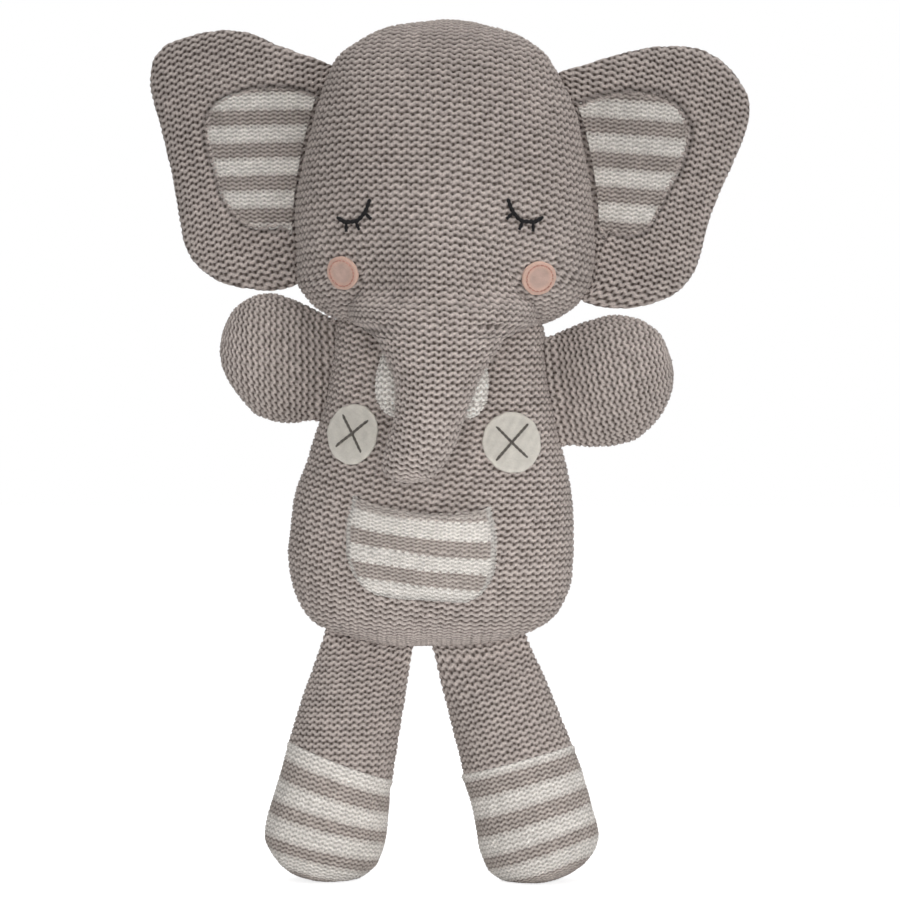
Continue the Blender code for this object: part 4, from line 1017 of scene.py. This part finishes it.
def build_ears():
    for number, (side, sign) in enumerate(SIDES):
        place = limb_frame(f"ear_{side}_flap", sign)
        edge = lobe_edge(EAR_EDGE[side], place, EAR_ROOT, EAR_ENDS, EAR_POINTS[0])
        patch = lobe_edge(LINING_EDGE[side], place, LINING_ROOT, LINING_ENDS, LINING_POINTS[0])
        fall = seam_fall(head_section, head_middle, *place, EAR_SEAM / 2 * SEAM_GROW, HEAD_BASE_Z + HAIR,
                         HEAD_TOP_Z - HAIR)
        grid = fan(edge, EAR_POINTS[1])
        rim, _ = edge_gap(grid, edge)
        relief = RIM_RELIEF + (1.0 - RIM_RELIEF) * ease(rim / RIM_OVER)
        inner = inside_lobe(grid, patch)
        sunk = UNDER_DEEP * ramp(inner, *UNDER_START) + CREASE * bell(inner, CREASE_HALF)
        sunk = sunk - ROLL * bell(inner + ROLL_OUT, ROLL_HALF)
        # Painted shadow on the ear's front, in the crease just outside the lining's edge.
        shadow = 1.0 - SEAM_SHADOW_DARK * bell(inner + SEAM_SHADOW_OUT, SEAM_SHADOW_HALF)
        a, b = ear_stitches(grid, MITT, EAR_DROOP[side], EAR_SLANT)
        nodes = (f"ear_{side}_cover", f"ear_{side}_batting")
        for face, label in FACES:
            points, n = ear_face(grid, face, edge, place, fall)
            # Only the front carries the sunk crease and its painted shadow.
            groove, painted_shade = (sunk, shadow) if label == "front" else (0.0, 1.0)
            obj = knit(f"ear_{side}_{label}", points, a, b, MITT, n, TAUPE, SEEDS["ear"] + number, groove,
                       n=n, relief=relief, painted_shade=painted_shade)
            dress(obj, f"ear_{side}", YARN, nodes)

        grid = fan(patch, LINING_POINTS[1])
        points, n = ear_face(grid, -1.0, edge, place, fall)
        a, b = ear_stitches(grid, PATCH, *LINING_SKEW)
        first, tall = LINING_START[side]
        gap, _ = edge_gap(grid, patch)
        # The lining is painted darker at its own edge, as shadow in the crease where it is sewn on.
        obj = knit(f"ear_{side}_patch", points, a, (b.max() - b) / tall, PATCH, n,
                   stripes((first,) + LINING_STRIPES, EAR_GREY, EAR_WHITE), SEEDS["lining"] + number,
                   LINING_DIP - LINING_LIFT * ease(gap / LINING_OVER), n=n, relief=LINING_RELIEF,
                   painted_shade=1.0 - SEAM_SHADOW_DARK * bell(gap, SEAM_SHADOW_HALF))
        dress(obj, f"ear_{side}", YARN, (f"ear_{side}_lining",))
        x, y = patch[:, 0], patch[:, 1]
        area = abs(float(np.sum(x * np.roll(y, 1) - y * np.roll(x, 1)))) / 2.0


# Pocket. Its shape is a share of its height and of its half-width.
POCKET_WIDTH, POCKET_HEIGHT, POCKET_X, POCKET_TOP_Z = 0.0670, 0.0430, -0.0020, 0.1673
POCKET_TILT, POCKET_GAPE = math.tan(math.radians(4.3)), 0.0068
POCKET_SHAPE = ((0.0, 0.91), (0.3, 1.0), (0.55, 0.99), (0.75, 0.915), (0.88, 0.80), (0.95, 0.66),
                (1.0, 0.46))
POCKET_STRIPES = (3, 5, 4, 4, 4)
POCKET_SAG, CORNER_RISE, POCKET_SKEW = 0.0036, 0.0022, 0.040
# The edge's rise over its seam, and the hem's roll and the dip at the mouth.
EDGE_RISE, EDGE_SINK, ROLL_RISE, ROLL_AT, HEM_ROLL = 0.0018, 0.0008, 0.0013, 0.0020, 0.0016
MOUTH_DIP, MOUTH_HALF = 0.0010, 0.0009
HEM_START, BORDER_START = (0.0040, 0.0010), (0.0026, 0.0010)


def build_pocket():
    rows, cols = (int(size / stitch * count) for size, stitch, count in (
        (POCKET_HEIGHT, PATCH[1], COURSE_POINTS), (POCKET_WIDTH, PATCH[0], WALE_POINTS)))
    v = np.linspace(0.0, 1.0, rows)[:, None]
    u = np.linspace(-1.0, 1.0, cols)[None, :]
    x = POCKET_X + POCKET_WIDTH / 2 * column(POCKET_SHAPE, v, 1) * u
    sag = (POCKET_SAG * (1 - u ** 2) - CORNER_RISE * u ** 6) * (1 - v) ** 2
    z = POCKET_TOP_Z - POCKET_HEIGHT * v - (x - POCKET_X) * POCKET_TILT - sag
    p, out = body_place(x, z)
    gap = np.minimum((1.0 - np.abs(u)) * POCKET_WIDTH / 2, (1.0 - v) * POCKET_HEIGHT)
    mouth = v * POCKET_HEIGHT
    lift = CLEAR + POCKET_GAPE * (1 - np.abs(u) ** 2.6) * (1 - v ** 2.2)
    lift = lift + EDGE_RISE * ease(gap / EDGE_RISE) - EDGE_SINK
    lift = lift + ROLL_RISE * bell(mouth - ROLL_AT, HEM_ROLL) - MOUTH_DIP * bell(mouth, MOUTH_HALF)
    a = np.broadcast_to(x / PATCH[0], lift.shape)
    b = np.broadcast_to(mouth / PATCH[1], lift.shape) - POCKET_SKEW * x / PATCH[1]
    shade = stripes(POCKET_STRIPES, GREY, WHITE)(nearest_course(a, b))
    shade = shade + (HEM_SHADE - shade) * (1.0 - ramp(mouth, *HEM_START))[..., None]
    shade = shade + (BORDER_SHADE - shade) * (1.0 - ramp(gap, *BORDER_START))[..., None]
    obj = knit("belly_pocket", p + out * lift[..., None], a, b, PATCH, out, shade, SEEDS["pocket"])
    dress(obj, "torso", YARN, ("pocket",))


# Felt and thread.
FELT = 0.0012
STRAND_R, LID_R, LASH_R, STITCH_R = 0.00056, 0.00085, 0.00070, 0.00034
BUTTON_R, BUTTON_SPREAD, BUTTON_Z, BUTTON_DROP = 0.0134, 0.0346, 0.1955, 0.0036
BUTTON_OVAL = {"right": 0.88, "left": 0.96}
# Run and climb of the two strands of each cross.
CROSSES = {"right": ((0.0104, -0.0176), (0.0144, 0.0119)), "left": ((0.0140, -0.0145), (0.0148, 0.0163))}
# How proud of the felt a strand lies, how deep its ends dive, how far its middle is pulled in and over which
# share, and how far the second strand lies over the first.
STRAND_LIFT, STRAND_DIVE, STRAND_PULL, PULL_HALF, STRAND_STEP = 0.0001, 0.0009, 0.0004, 0.25, 0.0004
EYE_SPREAD, EYE_ASIDE, EYE_Z, EYE_WIDTH, LASH = 0.0369, 0.0006, 0.2936, 0.0157, 0.0042
LID_LIFT, LASH_LIFT = 0.0005, 0.0004
# The closed lid's curve, and where each lash starts on it and which way it points, in widths of the eye.
LID = ((-0.5, -0.12), (-0.22, -0.26), (0.05, -0.24), (0.32, 0.02), (0.46, 0.38))
LASHES = (((-0.22, -0.26), (-0.05, -1.0)), ((0.05, -0.24), (0.35, -0.9)), ((0.30, 0.0), (0.7, -0.7)))
# A cheek's radius, its oval, and how far its middle is mixed towards a greyer, darker pink.
CHEEK_R, CHEEK_OVAL, CHEEK_GREYED = 0.0073, 1.12, 0.55
CHEEK_PLACE = {"right": (-0.0413, 0.2677), "left": (0.0431, 0.2656)}
STITCH_COUNT, STITCH_TURN, STITCH_RING, STITCH_HALF, STITCH_DIVE = 20, 0.3, 0.76, 0.10, 0.0006
BUTTON_DIMPLE, CHEEK_DIMPLE, DIMPLE_HALF = 0.0004, 0.0003, 0.42
# A disc's flat, rounded and tucked rings: how many, where the rounding starts and where the tuck ends.
FLAT_RINGS, ROUND_RINGS, TUCK_RINGS, ROUND_AT, TUCK_AT, TUCK_DEEP = 46, 22, 6, 0.86, 0.93, 0.4
DISC_COLS = 181
# How uneven a disc's outline is: a size, waves round it and a share of the seed.
DISC_WOBBLE = ((0.012, 3, 1.0), (0.008, 7, 2.0), (0.006, 13, 1.0))
FELT_ROUGH = ((0.00007, 0.0024, 0), (0.00012, 0.0075, 1))
FELT_CLOUDS = ((0.06, 0.004, 2),)
EDGE_LIGHT, EDGE_START, GREYED_START = 0.10, (0.80, 0.16), (0.50, 0.16)
# A thread's mesh points, its rounded ends, the length of its twist, and the relief of its plies with their
# painted shade: darker in the grooves, lighter on the crests.
THREAD_POINTS, THREAD_COLS, END_POINTS, END_SHARE = 90, 19, 6.0, 0.96
TWIST, PLY, PLY_DARK, PLY_LIGHT = 0.0022, 0.16, 0.8, 0.25


def felt_disc(place, middle, x, z, radius, shade, seed, dimple, oval=1.0, greyed=0.0):
    """Soft felt disc on a surface: a rounded edge, a fibrous face and a dimple at its stitches."""
    p0, out = place(np.array([x]), np.array([z]))
    p0, out = p0[0], out[0]
    across = np.cross(UP, out)
    across /= -np.linalg.norm(across)
    up = np.cross(out, across)
    up *= np.sign(up[2])
    bend = np.linspace(0.0, 1.0, ROUND_RINGS)[1:]
    r = np.concatenate((np.linspace(0.0, ROUND_AT, FLAT_RINGS), 1.0 - (1.0 - ROUND_AT) * (1.0 - bend) ** 2,
                        np.linspace(1.0, TUCK_AT, TUCK_RINGS)[1:]))
    top = np.concatenate((np.ones(FLAT_RINGS), np.sqrt(1.0 - bend ** 2),
                          np.linspace(0.0, -TUCK_DEEP, TUCK_RINGS)[1:]))
    rr, tt = np.meshgrid(r, np.linspace(0.0, TURN, DISC_COLS), indexing="ij")
    wobble = 1.0 + sum(size * np.sin(count * tt + part * seed) for size, count, part in DISC_WOBBLE)
    flat_x, flat_y = oval * radius * wobble * rr * np.cos(tt), radius * wobble * rr * np.sin(tt)
    q = p0 + flat_x[..., None] * across + flat_y[..., None] * up
    p, n = place(q[..., 0] - middle(q[..., 2]), q[..., 2])
    lift = CLEAR + FELT * top[:, None] - dimple * bell(rr, DIMPLE_HALF) + waves(p, FELT_ROUGH, seed)
    tone = 1.0 + waves(p, FELT_CLOUDS, seed) + EDGE_LIGHT * ramp(rr, *EDGE_START)
    # The disc's middle is mixed towards a greyer, darker colour.
    centre = (greyed * (1.0 - ramp(rr, *GREYED_START)))[..., None]
    colours = unit((shade + (FELT_GREYED - shade) * centre) * tone[..., None])
    return p + n * lift[..., None], colours, p0, across, up


def thread(name, path, radius, shade):
    """Twisted thread along a path of points, with rounded ends."""
    path, s = spread(np.array(path), THREAD_POINTS)
    count = np.arange(THREAD_POINTS)
    ends = unit(np.minimum(count, count[::-1]) / END_POINTS)
    size = radius * np.sqrt(1.0 - (1.0 - ends) ** 2 * END_SHARE)
    along = np.gradient(path, axis=0)
    along /= np.linalg.norm(along, axis=1, keepdims=True)
    side = np.cross(along, FORE)
    side /= np.linalg.norm(side, axis=1, keepdims=True)
    top = np.cross(side, along)
    turn = np.linspace(0.0, TURN, THREAD_COLS)
    ply = np.cos(2.0 * turn[None, :] - TURN * s[:, None] / TWIST)
    reach = size[:, None] * (1.0 + PLY * ply)
    points = path[:, None] + reach[..., None] * (np.cos(turn)[None, :, None] * side[:, None]
                                                 + np.sin(turn)[None, :, None] * top[:, None])
    # Painted shade in the grooves between the plies and painted light on their crests.
    tone = PLY_DARK + PLY_LIGHT * (ply + 1.0) / 2.0
    colours = unit(np.broadcast_to(shade, points.shape) * tone[..., None])
    return grid_object(name, points + SHIFT, colours, True)


def join(name, objects):
    """Several meshes made one piece."""
    first = objects[0]
    with bpy.context.temp_override(active_object=first, selected_editable_objects=objects):
        bpy.ops.object.join()
    first.name = name
    first.data.name = name
    return first


def build_buttons():
    t = np.linspace(-0.5, 0.5, 30)
    for number, (side, sign) in enumerate(SIDES):
        x, z = sign * BUTTON_SPREAD, BUTTON_Z - sign * BUTTON_DROP / 2
        points, colours, p0, across, up = felt_disc(
            body_place, body_middle, x, z, BUTTON_R, FELT_CREAM, SEEDS["button"] + number, BUTTON_DIMPLE,
            BUTTON_OVAL[side])
        obj = grid_object(f"button_{side}_felt", points + SHIFT, colours, True)
        dress(obj, "torso", FELT_LOOK, (f"button_{side}",))
        strands = []
        for layer, (run, climb) in enumerate(CROSSES[side]):
            q = p0 - (run * t)[:, None] * across + (climb * t)[:, None] * up
            p, n = body_place(q[:, 0] - body_middle(q[:, 2]), q[:, 2])
            rise = CLEAR + FELT + STRAND_LIFT - STRAND_DIVE * (np.abs(t) / 0.5) ** 8 + STRAND_STEP * layer
            rise = rise - STRAND_PULL * bell(t, PULL_HALF)
            strands.append(thread("strand", p + n * rise[:, None], STRAND_R, THREAD_GREY))
        obj = join(f"button_{side}_strands", strands)
        dress(obj, "torso", THREAD_LOOK, (f"button_cross_{side}",))


def build_eye(side, sign):
    def at(u, v, lift):
        x = EYE_ASIDE + sign * (EYE_SPREAD - u * EYE_WIDTH)
        p, n = face_place(x, EYE_Z + v * EYE_WIDTH)
        return p + n * lift[:, None]

    knots = np.linspace(0.0, 1.0, len(LID))
    fine, t = np.linspace(0.0, 1.0, 60), np.linspace(0.0, 1.0, 20)
    lid_u, lid_v = (smooth(knots, values, fine) for values in zip(*LID))
    strands = [thread("lid", at(lid_u, lid_v, LID_LIFT + 0.0 * fine), LID_R, THREAD_BLACK)]
    for (u, v), (du, dv) in LASHES:
        reach = LASH / EYE_WIDTH * t
        path = at(u + du * reach, v + dv * reach, LASH_LIFT * (1.0 - t ** 4))
        strands.append(thread("lash", path, LASH_R, THREAD_BLACK))
    obj = join(f"eye_{side}_thread", strands)
    dress(obj, "head", THREAD_LOOK, (f"eye_{side}",))


def build_cheek(side, number):
    points, colours, p0, across, up = felt_disc(
        face_place, head_middle, *CHEEK_PLACE[side], CHEEK_R, FELT_PEACH, SEEDS["cheek"] + number,
        CHEEK_DIMPLE, CHEEK_OVAL, CHEEK_GREYED)
    obj = grid_object(f"cheek_{side}_felt", points + SHIFT, colours, True)
    dress(obj, "head", FELT_LOOK, (f"cheek_{side}",))
    t = np.linspace(-1.0, 1.0, 16)
    rise = CLEAR + FELT + STRAND_LIFT - STITCH_DIVE * t ** 6
    stitches = []
    for k in range(STITCH_COUNT):
        turn = (TURN * (k + STITCH_TURN * number) / STITCH_COUNT + STITCH_HALF * t)[:, None]
        q = p0 + STITCH_RING * CHEEK_R * (CHEEK_OVAL * np.cos(turn) * across + np.sin(turn) * up)
        p, n = face_place(q[:, 0] - HEAD_X, q[:, 2])
        stitches.append(thread("stitch", p + n * rise[:, None], STITCH_R, THREAD_PINK))
    obj = join(f"cheek_{side}_stitches", stitches)
    dress(obj, "head", THREAD_LOOK, ())


def build_face():
    for number, (side, sign) in enumerate(SIDES):
        build_eye(side, sign)
        build_cheek(side, number)


# Camera, floor and light.
CAMERA_AWAY, CAMERA_TURN, CAMERA_RISE, AIM_Z = 2.5, math.radians(4.2), math.radians(1.0), 0.190
SENSOR, PHOTO_PIXELS, PIXEL = 36.0, 900, 0.00044084
FLOOR_HALF, FLOOR_SHADE, FLOOR_GLOW, WORLD_LIGHT = 6.0, 0.8, 0.82, 0.296
# Name, place, size, power, spread in degrees and height of the aim of each lamp.
LAMPS = (("over", (0.10, -0.22, 1.30), 0.45, 1.25, 120.0, 0.20),
         ("side", (0.95, -0.95, 0.30), 0.60, 1.85, 150.0, 0.18),
         ("front", (0.05, -0.75, 0.16), 0.35, 0.36, 60.0, 0.10),
         ("back", (-0.25, 1.05, 0.75), 0.70, 3.0, 150.0, 0.20))


def place_object(name, data, place, way):
    """New object at a place that looks along a direction."""
    obj = bpy.data.objects.new(name, data)
    bpy.context.scene.collection.objects.link(obj)
    obj.location = place
    obj.rotation_mode = "QUATERNION"
    obj.rotation_quaternion = way.to_track_quat("-Z", "Y")
    return obj


def build_camera():
    lens = bpy.data.cameras.new("camera")
    lens.sensor_width = SENSOR
    lens.lens = SENSOR * CAMERA_AWAY / (PHOTO_PIXELS * PIXEL)
    level = math.cos(CAMERA_RISE)
    back = Vector((math.sin(CAMERA_TURN) * level, -math.cos(CAMERA_TURN) * level, math.sin(CAMERA_RISE)))
    aim = Vector((SHIFT[0], SHIFT[1], AIM_Z))
    bpy.context.scene.camera = place_object("camera", lens, aim + back * CAMERA_AWAY, -back)


def build_floor():
    """White floor that glows for the camera alone and keeps the toy's shadow."""
    mesh = bpy.data.meshes.new("floor")
    corners = [(x * FLOOR_HALF, y * FLOOR_HALF, 0.0) for x, y in ((-1, -1), (1, -1), (1, 1), (-1, 1))]
    mesh.from_pydata(corners, [], [(0, 1, 2, 3)])
    floor = bpy.data.objects.new("floor", mesh)
    bpy.context.scene.collection.objects.link(floor)
    mat = bpy.data.materials.new("floor")
    mat.use_nodes = True
    tree = mat.node_tree
    tree.nodes.clear()
    plain = add_node(tree, "BsdfDiffuse", {"Color": (FLOOR_SHADE, FLOOR_SHADE, FLOOR_SHADE, 1.0)})
    path, glow = add_node(tree, "LightPath"), add_node(tree, "Emission")
    gain = add_node(tree, "Math", {1: FLOOR_GLOW}, "MULTIPLY")
    both, out = add_node(tree, "AddShader"), add_node(tree, "OutputMaterial")
    tree.links.new(path.outputs["Is Camera Ray"], gain.inputs[0])
    tree.links.new(gain.outputs["Value"], glow.inputs["Strength"])
    tree.links.new(plain.outputs["BSDF"], both.inputs[0])
    tree.links.new(glow.outputs["Emission"], both.inputs[1])
    tree.links.new(both.outputs["Shader"], out.inputs["Surface"])
    mesh.materials.append(mat)


def build_world():
    """White backdrop, which lights the toy less than it shows."""
    world = bpy.data.worlds.new("studio")
    bpy.context.scene.world = world
    world.use_nodes = True
    tree = world.node_tree
    tree.nodes.clear()
    path = add_node(tree, "LightPath")
    shown = path.outputs["Is Camera Ray"]
    for ray in ("Is Glossy Ray", "Is Transmission Ray"):
        either = add_node(tree, "Math", operation="MAXIMUM")
        tree.links.new(shown, either.inputs[0])
        tree.links.new(path.outputs[ray], either.inputs[1])
        shown = either.outputs["Value"]
    level = add_node(tree, "MapRange", {"To Min": WORLD_LIGHT, "To Max": 1.0})
    lit, out = add_node(tree, "Background", {"Color": (1.0, 1.0, 1.0, 1.0)}), add_node(tree, "OutputWorld")
    tree.links.new(shown, level.inputs["Value"])
    tree.links.new(level.outputs["Result"], lit.inputs["Strength"])
    tree.links.new(lit.outputs["Background"], out.inputs["Surface"])


def build_lamps():
    for name, place, size, watts, angle, goal in LAMPS:
        lamp = bpy.data.lights.new(name, "AREA")
        lamp.energy = watts
        lamp.size = size
        lamp.spread = math.radians(angle)
        place_object(name, lamp, place, Vector((0.0, 0.0, goal)) - Vector(place))


build_body()
build_head()
build_trunk()
build_tusks()
build_ears()
build_arms()
build_legs()
build_pocket()
build_buttons()
build_face()

bpy.context.scene.view_settings.view_transform = "Standard"
build_camera()
build_floor()
build_world()
build_lamps()
